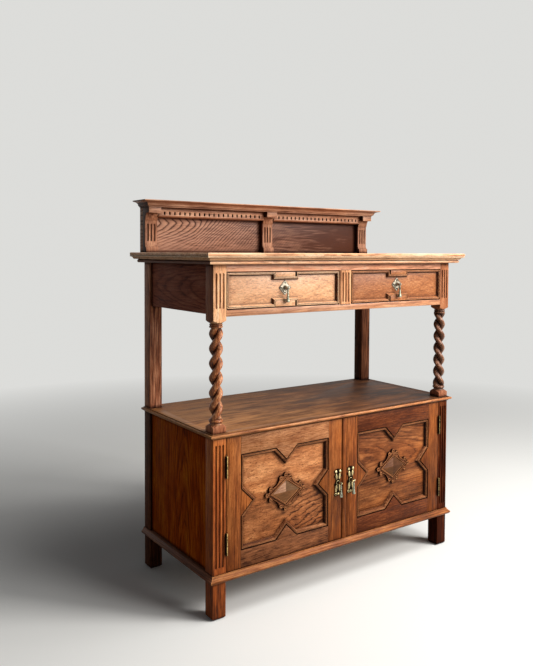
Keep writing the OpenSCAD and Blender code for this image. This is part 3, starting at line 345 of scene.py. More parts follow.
def cross_grain(piece, test):
    """Gives the second finish to the faces whose middle passes the test."""
    choose(piece, lambda face: 1 if test(face.center * 1000) else None)


def shade(piece, number):
    """Gives the finish with a number, a dark one, to the faces that look left or down, away from
    the lamps: painted shade."""
    choose(piece, lambda face: number if -0.8 * face.normal.x - 0.5 * face.normal.z > 0.25
           else None)


def on_the_ends(middle):
    """Whether a point lies on an end strip of a moulding mitred round the case."""
    out = abs(middle.x) - X_OUT
    return out > 0 and out > FRONT - middle.y + 0.2


rails = planed("bottom_rails")
cross_grain(rails, lambda c: abs(c.x) > 457)
fit(rails, [rail_oak, side_rail_oak])
fit(planed("bottom_board", 0.5), [inner_oak], slot=INNER_OAK)
strips = planed("base_moulding", 0.6)
cross_grain(strips, on_the_ends)
fit(strips, [base_oak, side_rail_oak])

# Sides and backs
# Plain panels of oak let into grooves of the legs and posts, darker than the front. The grain
# stands upright in the lower sides and lies along in the upper ones and in the backs.
lower_side_oak = oak(
    "lower_side", "ZYX", (-481, 7, 334), ((80, 26, 2), (168, 72, 5), (214, 122, 32)),
    heart=(-40, 110), slant=(0.02, 0.05), rings=0.35, stain=0.4, glow=0.6, shine=(0.55, 0.02),
    seed=9)
upper_side_oak = oak(
    "upper_side", "YZX", (-480, 7, 970), ((82, 44, 34), (155, 92, 75), (194, 134, 110)),
    heart=(0, 110), slant=(0.02, 0.06), rings=0.35, shine=(0.55, 0.03), seed=10)
back_oak = oak(
    "back", "XZY", (0, 222, 500), DARK_TONES, heart=(40, 140), slant=(0.03, 0.06), rings=0.35,
    shine=(0.6, 0.15), seed=11)
far_side_oak = oak(
    "far_side", "ZYX", (481, 7, 334), ((60, 28, 13), (120, 69, 36), (176, 112, 68)),
    heart=(-30, 160), slant=(0.02, 0.04), streaks=0.25, seed=9)
far_upper_oak = oak(
    "far_upper", "YZX", (480, 7, 970), ((60, 30, 17), (130, 82, 52), (186, 130, 92)),
    heart=(0, 160), slant=(0.02, 0.04), streaks=0.25, seed=10)
for node, finishes in (("lower_side_panels", [lower_side_oak, far_side_oak]),
                       ("upper_side_panels", [upper_side_oak, far_upper_oak])):
    panels = planed(node, 0.5)
    cross_grain(panels, lambda c: c.x > 0)
    fit(panels, finishes, slot=DARK_OAK)
for node in ("cabinet_back", "drawer_case_back"):
    fit(planed(node, 0.5), [back_oak], slot=DARK_OAK)

# Serving board
# One wide oak board, bored for the columns and posts, with a bead cut along its front and ends
# below the level of the top. Its top is darker and greyer than its front edge, and painted
# darker towards the right as shade where the light falls off.
board_oak = oak(
    "board", "XYZ", (0, 0, 550), ((52, 29, 16), (106, 67, 40), (174, 122, 78)),
    heart=(-60, 120), slant=(0.02, 0.05), rings=0.25, fibre=(6, 55), fleck=(16, 80), flecks=0.4,
    glow=0.4, painted_falloff=(1, 0), wear_and_highlight=0.7, seed=12)
nosing_oak = oak(
    "nosing", "XZY", (0, -230, 545), ((96, 46, 22), (186, 118, 70), (240, 176, 120)),
    heart=(0, 90), rings=0.35, wear_and_highlight=0.9, shine=(0.4, 0.2), seed=13)
BOARD_LOW = 535


def line(name, points):
    """A line through points in millimetres, drawn by extruding one vertex from each to the
    next. It stays in edit mode."""
    bpy.ops.mesh.primitive_plane_add(size=0.001)
    piece = bpy.context.active_object
    piece.name = name
    edit_all()
    bpy.ops.mesh.merge(type="CENTER")
    start = Vector((0, 0, 0))
    for i, point in enumerate(points):
        point = Vector(point) / 1000
        if i:
            bpy.ops.mesh.extrude_region_move(TRANSFORM_OT_translate={"value": point - start})
        else:
            bpy.ops.transform.translate(value=point)
        start = point
    bpy.ops.mesh.select_all(action="SELECT")
    return piece


def outward():
    """Turns every face of a piece outwards and leaves edit mode."""
    bpy.ops.mesh.select_all(action="SELECT")
    bpy.ops.mesh.normals_make_consistent(inside=False)
    bpy.ops.object.mode_set(mode="OBJECT")


def round_the_ends(name, profile, z, back, closed):
    """A profile of (outwards, upwards) points swept along the left end, the front and the right
    end, and mitred at the corners."""
    piece = line(name, [(-X_OUT - out, back, z + up) for out, up in profile])
    if closed:
        bpy.ops.mesh.edge_face_add()
    for turn in (lambda c: (c.x, FRONT / 1000 + c.x + X_OUT / 1000, c.z),
                 lambda c: (-c.x, c.y, c.z),
                 lambda c: (c.x, back / 1000, c.z)):
        bpy.ops.mesh.extrude_region_move()
        bpy.ops.object.mode_set(mode="OBJECT")
        for corner in piece.data.vertices:
            if corner.select:
                corner.co = turn(corner.co)
        bpy.ops.object.mode_set(mode="EDIT")
    outward()
    return piece


step = round_the_ends(
    "step", [(4, 12.4), (30, 12.4), (30, 20), (4, 20)], BOARD_LOW, BACK + 9, True)
board = planed("serving_board", 0.5, cutters=[step])
cross_grain(board, lambda c: c.y < FRONT - 4.2)
fit(board, [board_oak, nosing_oak])

# Inside of the cupboard
# One loose shelf on two bearers that are glued to the sides, and the batten under the serving
# board that stops the doors. All are unpolished oak.
for node in ("inner_shelf", "shelf_bearers", "door_stop"):
    fit(planed(node, 0.7), [inner_oak], slot=INNER_OAK)

# Columns
# Each is turned from one square length: block, ring, a double twist carved by hand, two rings
# and a fluted post that takes the rails of the drawer case. The twists have opposite hands.
CARVED = {"heart": (20, 50), "rings": 0.25, "streaks": 0.45, "flecks": 0.3, "dirt_and_shade": 1,
          "shine": (0.34, 0.3), "reach": 20}
column_oak = oak(
    "column", "ZXY", (-478, -201, 800), ((32, 12, 6), (162, 92, 50), (244, 180, 124)),
    wear_and_highlight=0.6, seed=14, **CARVED)
# Darker copies for the right column and its post: painted shade for light that falls off to the
# right.
shaded_far_column_oak = oak(
    "far_column", "ZXY", (478, -201, 800), ((34, 15, 8), (108, 68, 46), (184, 132, 100)),
    wear_and_highlight=0.5, seed=15, **CARVED)
post_oak = oak(
    "post", "ZXY", (-478, -201, 960), ((120, 62, 36), (255, 192, 142), (255, 232, 196)),
    dirt_and_shade=0.7, wear_and_highlight=0.7, seed=17)
shaded_far_post_oak = oak(
    "far_post", "ZXY", (478, -201, 960), ((80, 38, 20), (176, 110, 72), (228, 166, 122)),
    wear_and_highlight=0.7, shine=(0.45, 0.12), seed=17)
# A darker copy for the post's faces that look left, and for the right column's block: painted
# shade; the bright post finish above is the lit copy.
shaded_post_side_oak = oak(
    "post_side", "ZXY", (-478, -201, 960), ((60, 28, 16), (138, 82, 56), (192, 132, 98)),
    seed=17)
block_oak = oak(
    "block", "ZXY", (-478, -201, 560), ((60, 28, 14), (164, 100, 68), (224, 164, 124)),
    wear_and_highlight=0.8, seed=17)
AXIS = (-478, -201)
BLOCK_TOP, POST_LOW = 575, 871
STRAND_R, STRAND_OFF, LEAD = 11, 9.5, 87
TWIST_LOW, TWIST_TOP = 591, 857


def turned(name, profile, at, steps=48):
    """A lathe-turned solid: profile holds (radius, height) points from the axis to the axis."""
    piece = line(name, [(at[0] + r, at[1], z) for r, z in profile])
    bpy.ops.mesh.spin(steps=steps, angle=math.tau, center=(at[0] / 1000, at[1] / 1000, 0),
                      axis=(0, 0, 1))
    bpy.ops.mesh.select_all(action="SELECT")
    bpy.ops.mesh.remove_doubles(threshold=0.000005)
    outward()
    only(piece)
    smooth(40)
    return piece


def arc(centre, radius, start, end, count):
    """Points on an arc, with angles in degrees."""
    return [(centre[0] + radius * math.cos(math.radians(start + (end - start) * i / count)),
             centre[1] + radius * math.sin(math.radians(start + (end - start) * i / count)))
            for i in range(count + 1)]


def kept_part(node, name, point, towards):
    """The part of a node beyond a plane through a point, closed where it is cut."""
    piece = planed(node, 1, 0.2)
    piece.name = name
    only(piece)
    edit_all()
    bpy.ops.mesh.bisect(plane_co=Vector(point) / 1000, plane_no=towards, use_fill=True,
                        clear_inner=True, threshold=0.000001)
    bpy.ops.object.mode_set(mode="OBJECT")
    return piece


def glued(name, pieces, finishes=()):
    """Joins solids into one piece. With the finishes given, each face keeps the one it has."""
    for piece in pieces:
        give(piece, finishes)
    only(pieces[0])
    for piece in pieces[1:]:
        piece.select_set(True)
    bpy.ops.object.join()
    pieces[0].name = name
    return pieces[0]


def mirrored(piece, name):
    """The opposite hand of a piece, on the other side of the middle."""
    other = bpy.data.objects.new(name, piece.data.copy())
    bpy.context.scene.collection.objects.link(other)
    only(other)
    other.scale.x = -1
    bpy.ops.object.transform_apply(location=False, rotation=False, scale=True)
    bpy.ops.object.mode_set(mode="EDIT")
    outward()
    return other


def twisted(name):
    """Two strands wound round each other, with a sharp valley between them."""
    half = math.degrees(math.acos(-STRAND_OFF / STRAND_R))
    lobe = arc((STRAND_OFF, 0), STRAND_R, -half, half, 26)[:-1]
    points = lobe + [(-x, -y) for x, y in lobe]
    swing = math.radians(20)
    points = [(x * math.cos(swing) - y * math.sin(swing), x * math.sin(swing)
               + y * math.cos(swing), 0) for x, y in points]
    piece = line(name, points)
    bpy.ops.mesh.edge_face_add()
    bpy.ops.mesh.delete(type="ONLY_FACE")
    bpy.ops.object.mode_set(mode="OBJECT")
    height = (TWIST_TOP - TWIST_LOW) / 1000
    piece.location = (AXIS[0] / 1000, AXIS[1] / 1000, TWIST_LOW / 1000)
    only(piece)
    screw = piece.modifiers.new("twist", "SCREW")
    screw.angle = math.tau * (TWIST_TOP - TWIST_LOW) / LEAD
    screw.screw_offset = height
    screw.steps = screw.render_steps = 168
    screw.use_merge_vertices = False
    bpy.ops.object.modifier_apply(modifier="twist")
    bpy.ops.object.transform_apply(location=True, rotation=False, scale=False)
    edit_all()
    bpy.ops.mesh.fill_holes(sides=0)
    outward()
    smooth(50)
    return piece


big = STRAND_R + STRAND_OFF
foot_ring = turned("foot_ring", [
    (0, 574.6), (big - 2, 574.6), (big - 2.4, 576), (big - 3.4, 578), (big - 3.4, 579.6),
    *arc((big - 4.5, 585), 5.4, -84, 84, 12), (big - 5.6, 591.2), (0, 591.2)], AXIS)
head_ring = turned("head_ring", [
    (0, 856.8), (big - 3.6, 856.8), *arc((big - 3.2, 860), 2.9, -80, 80, 8),
    (big - 4.4, 863.2), *arc((big - 3.6, 866.2), 2.7, -80, 80, 8), (big - 3.4, 869),
    (big - 2, 871.4), (0, 871.4)], AXIS)
block = kept_part("left_column", "block", (0, 0, BLOCK_TOP - 0.1), (0, 0, -1))
post = kept_part("left_column", "post", (0, 0, POST_LOW + 0.1), (0, 0, 1))
column = glued("left_column_turned", [block, foot_ring, twisted("twist"), head_ring, post])
# Faces of the post that look left take the darker copy: painted shade.
choose(column, lambda face: (1 if face.normal.x > -0.7 else 2)
       if face.center.z * 1000 > POST_LOW else 3 if face.center.z * 1000 < BLOCK_TOP else None)
far_column = mirrored(column, "right_column_turned")
fit(column, [column_oak, post_oak, shaded_post_side_oak, block_oak], "left_column")
fit(far_column, [shaded_far_column_oak, shaded_far_post_oak, shaded_far_post_oak, shaded_post_side_oak], "right_column")

# Drawer case
# Two rails tenoned into the posts, and between the drawers a block with three flutes that
# stands a little proud. Runners, guides and kickers inside are unpolished.
case_oak = oak(
    "case", "XZY", (0, -211, 970), ((118, 66, 38), (196, 134, 94), (240, 188, 146)),
    heart=(30, 100), stain=0.3, wear_and_highlight=0.7, shine=(0.4, 0.45), seed=16)
# Painted shade: the rail over the drawers darkens to the right.
top_rail_oak = oak(
    "top_rail", "XZY", (0, -211, 1030), ((140, 82, 52), (246, 174, 134), (255, 216, 182)),
    heart=(30, 100), painted_falloff=(0.4, 0), wear_and_highlight=0.7, shine=(0.4, 0.4), seed=16)
muntin_oak = oak(
    "muntin", "ZXY", (0, -201, 960), ((104, 50, 28), (238, 170, 120), (255, 216, 170)),
    dirt_and_shade=0.9, wear_and_highlight=0.7, seed=17)
for node, finish in (("drawer_top_rail", top_rail_oak), ("drawer_bottom_rail", case_oak)):
    fit(planed(node, 1.2), [finish])
fit(planed("centre_muntin", 0.8), [muntin_oak])
fit(planed("drawer_runners", 0.6), [inner_oak], slot=INNER_OAK)

# Top
# A wide board with a fascia over a fine bead and a hollow along its front and ends, and below
# it a half-round bed moulding in three mitred strips.
top_oak = oak(
    "top", "XYZ", (0, 0, 1065), ((138, 82, 50), (248, 188, 142), (255, 226, 192)),
    heart=(40, 110), slant=(0.01, 0.04), rings=0.3, wear_and_highlight=0.8, shine=(0.4, 0.25), seed=18)
# Copies of the top's oak by face: the upper face darker, the bead and hollow lighter, as painted
# shade and painted highlight for how the light falls on them.
shaded_top_face_oak = oak(
    "top_face", "XYZ", (0, 0, 1075), ((76, 44, 26), (158, 104, 66), (212, 158, 114)),
    heart=(60, 140), slant=(0.02, 0.04), rings=0.35, fibre=(8, 90), fleck=(24, 110), wear_and_highlight=0.7,
    seed=18)
lit_bead_oak = oak(
    "bead", "XZY", (0, -260, 1064), ((150, 96, 60), (250, 204, 160), (255, 228, 194)),
    heart=(0, 60), wear_and_highlight=0.8, shine=(0.4, 0.3), seed=18)
lit_hollow_oak = oak(
    "hollow", "XZY", (0, -260, 1058), ((140, 92, 62), (250, 196, 152), (255, 224, 184)),
    heart=(0, 60), seed=18)
side_bed_oak = oak(
    "side_bed", "YZX", (-510, 7, 1047), DARK_TONES, heart=(0, 90), rings=0.35, seed=19)
BED_LOW, CASE_TOP, TOP_BACK, TOP_THICK = 1041.4, 1053, 264, 22
bed = round_the_ends("top_bed_moulding_run", [
    (0, 0), (17, 0), *arc((20.6, 5.4), 5.3, -80, 80, 10), (22.5, 11.2), (22.5, 11.6),
    (0, 11.6)], BED_LOW, BACK, True)
smooth(30)
cross_grain(bed, on_the_ends)
fit(bed, [top_oak, side_bed_oak], "top_bed_moulding")

board = round_the_ends("top_board_moulded", [
    (0, 0), (26.5, 0), (27, 0.6), *arc((36.5, 0.2), 7.6, 160, 95, 6), (38, 7.8), (38, 8.6),
    *arc((38.9, 10.2), 1.9, -70, 70, 5), (38.4, 12.2), (38.4, 12.8), (40.2, 13.2), (40.6, 14),
    (40.6, 20.2), (38.8, TOP_THICK), (0, TOP_THICK)], CASE_TOP, TOP_BACK, False)


def pick(piece, test):
    """Selects the corners of a piece that pass a test, in edit mode."""
    bpy.ops.object.mode_set(mode="EDIT")
    bpy.ops.mesh.select_mode(type="VERT")
    bpy.ops.mesh.select_all(action="DESELECT")
    bpy.ops.object.mode_set(mode="OBJECT")
    for corner in piece.data.vertices:
        corner.select = test(corner.co * 1000)
    bpy.ops.object.mode_set(mode="EDIT")


for level in (CASE_TOP, CASE_TOP + TOP_THICK):
    pick(board, lambda c: abs(c.z - level) < 0.01 and abs(c.x) < X_OUT + 1)
    bpy.ops.mesh.edge_face_add()
bpy.ops.mesh.select_all(action="DESELECT")
bpy.ops.mesh.select_non_manifold()
bpy.ops.mesh.edge_face_add()
outward()
smooth(30)
# Upper face, hollow and bead take their darker and lighter copies: painted light and shade.
choose(board, lambda face: 1 if face.normal.z > 0.9 else 3
       if face.center.z * 1000 < CASE_TOP + 8 else 2 if face.center.z * 1000 < CASE_TOP + 13
       else 0)
fit(board, [top_oak, shaded_top_face_oak, lit_bead_oak, lit_hollow_oak], "top_board")

# Gallery
# A low back board with bold arched figure, three fluted pilasters under frieze blocks, a strip
# of dentils with round-ended slots between the blocks, and a curved cornice.


def arches(f, wood, along, across):
    """Sharp arches side by side that point to the right, and lean over into slanted lines
    towards the middle of the board. The lower part of the board is plain."""
    sway = f.scaled(f.noise(wood, (5, 16, 16), 2, 0.5, 41), 0.016, -0.008)
    climbing = f.times(f.sum("MAXIMUM", f.sum("ADD", along, -0.16), 0), 0.3)
    side = f.sum("ADD", f.sum("SUBTRACT", across, climbing), sway)
    arm = f.sum("SQRT", f.scaled(side, side, 0.000004))
    bend = f.times(arm, f.sum("MINIMUM", arm, 0.07))
    arm = f.scaled(bend, 20, arm)
    year = f.scaled(along, 1 / 0.031, f.times(arm, 1 / 0.031))
    year = f.scaled(f.times(along, along), 24, year)
    year = f.scaled(f.noise(wood, (30, 60, 60), 2, 0.5, 43), 0.5, year)
    high = f.ramp(f.scaled(across, 5, 0.9), (0.42, 0.2), (0.66, 0.85), (0.8, 1))
    near = f.ramp(along, (0.2, 1), (0.35, 0.65), (0.5, 0.5), (0.75, 0.2))
    return year, f.times(f.times(high, near), 0.8), 0.5


# Painted shade: the gallery board darkens to the right.
gallery_oak = oak(
    "gallery", "XZY", (-458, 240, 1177), ((72, 41, 29), (168, 124, 102), (216, 170, 140)),
    figure=arches, fibre=(18, 240), streaks=0.3, fleck=(70, 300), flecks=0.45, stain=0.1,
    glow=0.35, painted_falloff=(0.75, 0), shine=(0.45, 0.12), seed=20)
pilaster_oak = oak(
    "pilaster", "ZXY", (-480, 220, 1140), ((72, 40, 28), (148, 100, 74), (196, 146, 112)),
    wear_and_highlight=0.7, seed=21)
cornice_oak = oak(
    "cornice", "XZY", (0, 220, 1230), ((80, 44, 30), (178, 130, 102), (228, 184, 150)),
    heart=(20, 90), streaks=0.3, wear_and_highlight=0.8, shine=(0.45, 0.15), seed=22)
back = planed("gallery_back", 0.7)
cross_grain(back, lambda c: c.x > 495 or c.y > 263)
fit(back, [gallery_oak, back_oak])
# A dark copy for the faces of the pilasters, frieze and cornice that look left: painted shade.
left_face_shade_oak = oak(
    "end", "ZYX", (-480, 220, 1140), ((24, 11, 7), (56, 31, 22), (112, 72, 54)),
    heart=(10, 60), seed=23)
# Near-black oak for the dentil slots and the slits beside the drawer tablets: painted shadow in
# the recesses.
slot_shadow_oak = oak(
    "slot", "XZY", (0, -219, 965), ((14, 6, 4), (34, 15, 10), (80, 44, 28)), rings=0.35,
    dirt_and_shade=1, wear_and_highlight=0.2, seed=26)
SLOT_LOW, SLOT_TOP, SLOT_FLOOR = 1202, 1215, 214
for node, finish in (("gallery_pilasters", pilaster_oak), ("gallery_frieze", cornice_oak),
                     ("gallery_cornice", cornice_oak)):
    piece = planed(node, 0.6, 0.4)
    # Small faces in the dentil slots take the painted shadow, faces that look left the painted
    # shade.
    choose(piece, lambda face: 2 if face.area < 0.0001
           and SLOT_LOW < face.center.z * 1000 < SLOT_TOP
           and (face.normal.y > -0.5 or face.center.y * 1000 > SLOT_FLOOR)
           else int(face.normal.x < -0.6))
    fit(piece, [finish, left_face_shade_oak, slot_shadow_oak])

# Drawers
# A front of bright oak with a mitred moulding round it that steps round a small tablet at the
# top and one at the bottom. Sides, back and bottom are unpolished.
DRAWER_TONES = (126, 68, 36), (228, 168, 120), (255, 216, 174)
# Darker tones for the right drawer: painted shade for light that falls off to the right.
SHADED_FAR_DRAWER_TONES = (88, 40, 16), (174, 106, 60), (226, 164, 112)
drawer_finishes = {}
for side, middle, tones, shine in (("left", -240, DRAWER_TONES, 0.5),
                                   ("right", 240, SHADED_FAR_DRAWER_TONES, 0.3)):
    drawer_finishes[side] = [
        oak(
            side + "_drawer", "XZY", (middle, -210, 965), tones, heart=(0, 90),
            slant=(0.03, 0.06), rings=0.1, fibre=(90, 260), streaks=0.35, fleck=(75, 290),
            flecks=0.6, stain=0.25, glow=0.15, wear_and_highlight=0.8, shine=(0.4, shine), seed=24),
        oak(
            side + "_drawer_upright", "ZXY", (middle, -219, 965), tones, wear_and_highlight=0.8,
            shine=(0.4, shine), seed=25),
        # A dark copy for drawer faces in shade: painted shade.
        oak(
            side + "_drawer_shade", "XZY", (middle, -219, 965),
            ((26, 11, 7), (74, 38, 24), (150, 98, 66)), rings=0.35, dirt_and_shade=1, seed=26)]
DRAWER_FIELD = -215
DX0, DX1, DZ0, DZ1 = -452.8, -28.2, 912.2, 1016.8
TAB_MID, TAB_HALF = -240.5, 41
TAB_LOW, TAB_TOP = 17, 14


def flat_face(name, outline, y):
    """A flat face that looks forwards, from an outline in X and Z. It stays in edit mode."""
    piece = line(name, [(x, y, z) for x, z in outline])
    bpy.ops.mesh.edge_face_add()
    bpy.ops.object.mode_set(mode="OBJECT")
    backwards = piece.data.polygons[0].normal.y > 0
    edit_all()
    if backwards:
        bpy.ops.mesh.flip_normals()
    bpy.ops.mesh.select_mode(type="FACE")
    bpy.ops.mesh.select_all(action="SELECT")
    return piece


def climb(steps):
    """Carries the selected face through steps of (inset, rise), in millimetres."""
    for inset, rise in steps:
        if inset:
            bpy.ops.mesh.inset(thickness=inset / 1000, depth=rise / 1000,
                               use_even_offset=True, use_boundary=True)
        else:
            bpy.ops.mesh.extrude_region_move(
                TRANSFORM_OT_translate={"value": (0, -rise / 1000, 0)})


def outlined(name, outline, y, steps, apex=None):
    """A solid on a plane that looks forwards: its outline, the steps of its carving, and how
    far the point of a pyramid stands above them."""
    piece = flat_face(name, outline, y)
    climb(steps)
    if apex:
        bpy.ops.mesh.merge(type="CENTER")
        bpy.ops.transform.translate(value=(0, -apex / 1000, 0))
    bpy.ops.mesh.select_mode(type="VERT")
    outward()
    return piece


def framed(name, outline, y, steps):
    """A mitred moulding along the inside of an outline, closed underneath."""
    piece = flat_face(name, outline, y)
    climb(steps)
    bpy.ops.mesh.delete(type="ONLY_FACE")
    bpy.ops.object.mode_set(mode="OBJECT")
    for face in piece.data.polygons:
        face.select = len(face.vertices) == len(outline)
    bpy.ops.object.mode_set(mode="EDIT")
    bpy.ops.mesh.delete(type="ONLY_FACE")
    bpy.ops.mesh.select_mode(type="EDGE")
    bpy.ops.mesh.select_all(action="DESELECT")
    bpy.ops.mesh.select_non_manifold(extend=False)
    bpy.ops.mesh.bridge_edge_loops()
    bpy.ops.mesh.select_mode(type="VERT")
    outward()
    only(piece)
    smooth(28)
    return piece


def grain_by_length(piece):
    """Gives the second finish to the faces of upright strips, so that grain runs along them."""
    for face in piece.data.polygons:
        edges = [piece.data.vertices[a].co - piece.data.vertices[b].co
                 for a, b in face.edge_keys]
        longest = max(edges, key=lambda e: e.length)
        face.material_index = int(abs(longest.z) > abs(longest.x) * 1.2)


a, b = TAB_MID - TAB_HALF, TAB_MID + TAB_HALF
drawer_outline = [(DX0, DZ0), (a, DZ0), (a, DZ0 + TAB_LOW), (b, DZ0 + TAB_LOW), (b, DZ0),
                  (DX1, DZ0), (DX1, DZ1), (b, DZ1), (b, DZ1 - TAB_TOP), (a, DZ1 - TAB_TOP),
                  (a, DZ1), (DX0, DZ1)]
moulding = framed("left_drawer_moulding_run", drawer_outline, DRAWER_FIELD, [
    (0, 7.4), (0.5, 0.6), (2, 0), (0.4, -1.8), (0.9, 0), (0.3, 1.4), (0.6, 0.2), (1, -0.5),
    (0.9, -1.4), (0.9, -1.7), (0.9, -1.2), (0.6, -0.4), (0.2, -1.2), (0.3, -3)])
tabs = []
x0, x1 = a + 0.8, b - 6.2
for low, high in ((DZ0, DZ0 + TAB_LOW - 0.4), (DZ1 - TAB_TOP + 0.4, DZ1)):
    tab = outlined("tablet", [(x0, low), (x1, low), (x1, high), (x0, high)], DRAWER_FIELD,
                   [(0, 7.8)])
    ease(tab, 0.6)
    tabs.append(tab)
moulding = glued("left_drawer_moulding_run", [moulding, *tabs])
other_moulding = mirrored(moulding, "right_drawer_moulding_run")
for piece, side in ((moulding, "left"), (other_moulding, "right")):
    body = side + "_drawer"
    grain_by_length(piece)
    # Faces that look left or down take the dark copy, and the ends of the tablets the near-black
    # slot finish: painted shade and painted shadow.
    shade(piece, 2)
    choose(piece, lambda face: 3 if abs(face.normal.x) > 0.9
           and abs(abs(face.center.x * 1000) + TAB_MID) < TAB_HALF + 3 else None)
    fit(piece, [*drawer_finishes[side], slot_shadow_oak], body + "_moulding", body=body)
    piece = planed(body + "_front", 1.3)
    # Faces of the front that do not look forwards take the dark copy: painted shadow in the gaps
    # round the drawer.
    choose(piece, lambda face: 2 if face.normal.y > -0.8 else None)
    fit(piece, drawer_finishes[side], body=body)
    for node in (body + "_box", body + "_bottom"):
        fit(planed(node, 0.6), [inner_oak], body=body, slot=INNER_OAK)

# Doors
# Stiles and rails tenoned together round a panel of figured oak. A mitred moulding in the shape
# of a star runs round the panel, over four pointed blocks glued in the frame.
# Painted shade: the stiles, rails and panels of the doors darken downwards, and some to the
# right, where the light is made to fall off.
stile_oak = oak(
    "stile", "ZXY", (-30, -211, 334), ((60, 25, 9), (130, 70, 30), (192, 118, 60)),
    heart=(0, 120), slant=(0.01, 0.02), rings=0.25, streaks=0.35, fleck=(45, 220), flecks=0.6,
    glow=0.5, painted_falloff=(0.25, 0.6), wear_and_highlight=0.6, seed=27)
FLECKED = {"heart": (0, 120), "slant": (0.02, 0.04), "fibre": (36, 220), "streaks": 0.3,
           "fleck": (80, 240), "flecks": 0.8}
door_rail_oak = oak(
    "door_rail", "XZY", (-230, -211, 334), ((58, 28, 13), (146, 90, 55), (204, 146, 102)),
    painted_falloff=(0, 1.3), wear_and_highlight=0.7, seed=28, **FLECKED)
# A darker copy of the rail finish for the right door: painted shade for light that falls off to
# the right.
shaded_far_door_rail_oak = oak(
    "far_door_rail", "XZY", (230, -211, 334), ((40, 16, 5), (92, 43, 17), (150, 84, 44)),
    painted_falloff=(0, 0.2), wear_and_highlight=0.6, seed=29, **FLECKED)


def plume(f, wood, along, across):
    """Bold streaks that rise to the right in the lower right part of a panel, and faint level
    ones elsewhere."""
    sway = f.noise(wood, (6, 20, 20), 3, 0.6, 51)
    height = f.scaled(sway, 0.05, f.scaled(along, -0.28, across))
    year = f.times(height, 1 / 0.017)
    right_part = f.ramp(f.sum("ADD", along, 0.5), (0.47, 0), (0.54, 1))
    low_part = f.ramp(f.sum("SUBTRACT", 0.5, across), (0.5, 0), (0.55, 1))
    level = f.scaled(sway, 0.06, f.sum("ADD", across, 0.47))
    lift = f.ramp(level, (0.42, 0.46), (0.49, 0.34), (0.505, 0.4), (0.517, 0.8), (0.53, 0.78),
                  (0.545, 0.5), (0.6, 0.56))
    plumed = f.times(right_part, low_part)
    lift = f.scaled(plumed, -0.1, lift)
    year = f.scaled(f.noise(wood, (30, 90, 90), 2, 0.6, 53), 1.2, year)
    return year, f.times(plumed, 0.5), lift


left_panel_oak = oak(
    "left_panel", "XZY", (-234, -207, 332), ((60, 26, 11), (178, 112, 68), (240, 172, 114)),
    figure=plume, fibre=(30, 180), streaks=0.25, fleck=(80, 240), flecks=1, stain=0.45, glow=0.35,
    painted_falloff=(0.4, 0.2), seed=30)
# The right panel is darker than the left, partly its own colour and partly painted shade for
# light that falls off to the right.
shaded_right_panel_oak = oak(
    "right_panel", "XZY", (231, -207, 332), ((46, 20, 8), (132, 76, 41), (196, 128, 76)),
    pitch=8, heart=(40, 90), slant=(-0.04, 0.08), rings=0.3, fibre=(26, 180), streaks=0.25,
    fleck=(75, 240), flecks=0.9, stain=0.45, glow=0.5, painted_falloff=(0, 0.3), seed=31)
star_oak = oak(
    "star", "XZY", (-230, -220, 334), ((34, 14, 6), (120, 68, 38), (200, 138, 92)),
    heart=(0, 90), dirt_and_shade=1, wear_and_highlight=0.6, seed=32)
# Near-black oak for door faces in shade: painted shade.
shade_oak = oak(
    "shade", "XZY", (-230, -220, 334), ((16, 7, 4), (44, 21, 11), (110, 66, 40)),
    heart=(0, 90), dirt_and_shade=1, seed=34)
star_upright_oak = oak(
    "star_upright", "ZXY", (-230, -220, 334), ((34, 14, 6), (120, 66, 35), (200, 136, 88)),
    heart=(0, 90), dirt_and_shade=1, wear_and_highlight=0.55, seed=33)
PANEL_FACE = -212
FIELD_Z = (187.5, 478)
FIELDS = {"left": (-403.5, -65.75), "right": (58.75, 403.5)}
CUT, SLIT = 40, 1.2
STAR_STEPS = [(0, 4), (2.2, 0), (0.3, 4.8), (0.6, 0.9), (1.4, 0), (0.4, -1.6), (0.8, 0),
              (0.3, 1.3), (1.3, 0), (0.5, -1.6), (0.8, -0.2), (1.1, -1.8), (1.1, -2.2),
              (1, -2), (0.2, -4)]


def star(field, slit=0):
    """Corners of the star in a door's field, or of a smaller one that leaves a slit round it.
    0.414 is the tangent of half of 45 degrees."""
    x0, x1 = field[0] + slit, field[1] - slit
    z0, z1 = FIELD_Z[0] + slit, FIELD_Z[1] - slit
    mx, mz, c = (x0 + x1) / 2, (z0 + z1) / 2, CUT + 0.414 * slit
    return [(x0, z0), (mx - c, z0), (mx, z0 + c), (mx + c, z0), (x1, z0), (x1, mz - c),
            (x1 - c, mz), (x1, mz + c), (x1, z1), (mx + c, z1), (mx, z1 - c), (mx - c, z1),
            (x0, z1), (x0, mz + c), (x0 + c, mz), (x0, mz - c)]


for side, panel_oak, door_oak in (("left", left_panel_oak, door_rail_oak),
                                  ("right", shaded_right_panel_oak, shaded_far_door_rail_oak)):
    body = side + "_door"
    corners = star(FIELDS[side])
    finishes = [star_oak, star_upright_oak, door_oak, stile_oak, shade_oak]
    run = framed(body + "_star", star(FIELDS[side], SLIT), PANEL_FACE, STAR_STEPS)
    grain_by_length(run)
    # Faces of the star moulding that look left or down take the near-black copy: painted shade.
    shade(run, 4)
    blocks = []
    for first in (1, 5, 9, 13):
        block = outlined("block", corners[first:first + 3], PANEL_FACE, [(0, 11)])
        ease(block, 0.5)
        choose(block, lambda face: 3 if first in (5, 13) else 2)
        blocks.append(block)
    fit(glued(body + "_star", [run, *blocks], finishes), finishes, body + "_moulding", body=body)
    stiles = planed(body + "_stiles", 1.6)
    # Edges of the stiles take the near-black copy: painted shadow in the gaps beside the doors.
    choose(stiles, lambda face: int(abs(face.normal.x) > 0.5))
    fit(stiles, [stile_oak, shade_oak], body=body)
    fit(planed(body + "_rails", 1), [door_oak], body=body)
    fit(planed(body + "_panel", 0.5), [panel_oak], body=body)
fit(planed("right_door_bead", 0.6), [stile_oak], body="right_door")

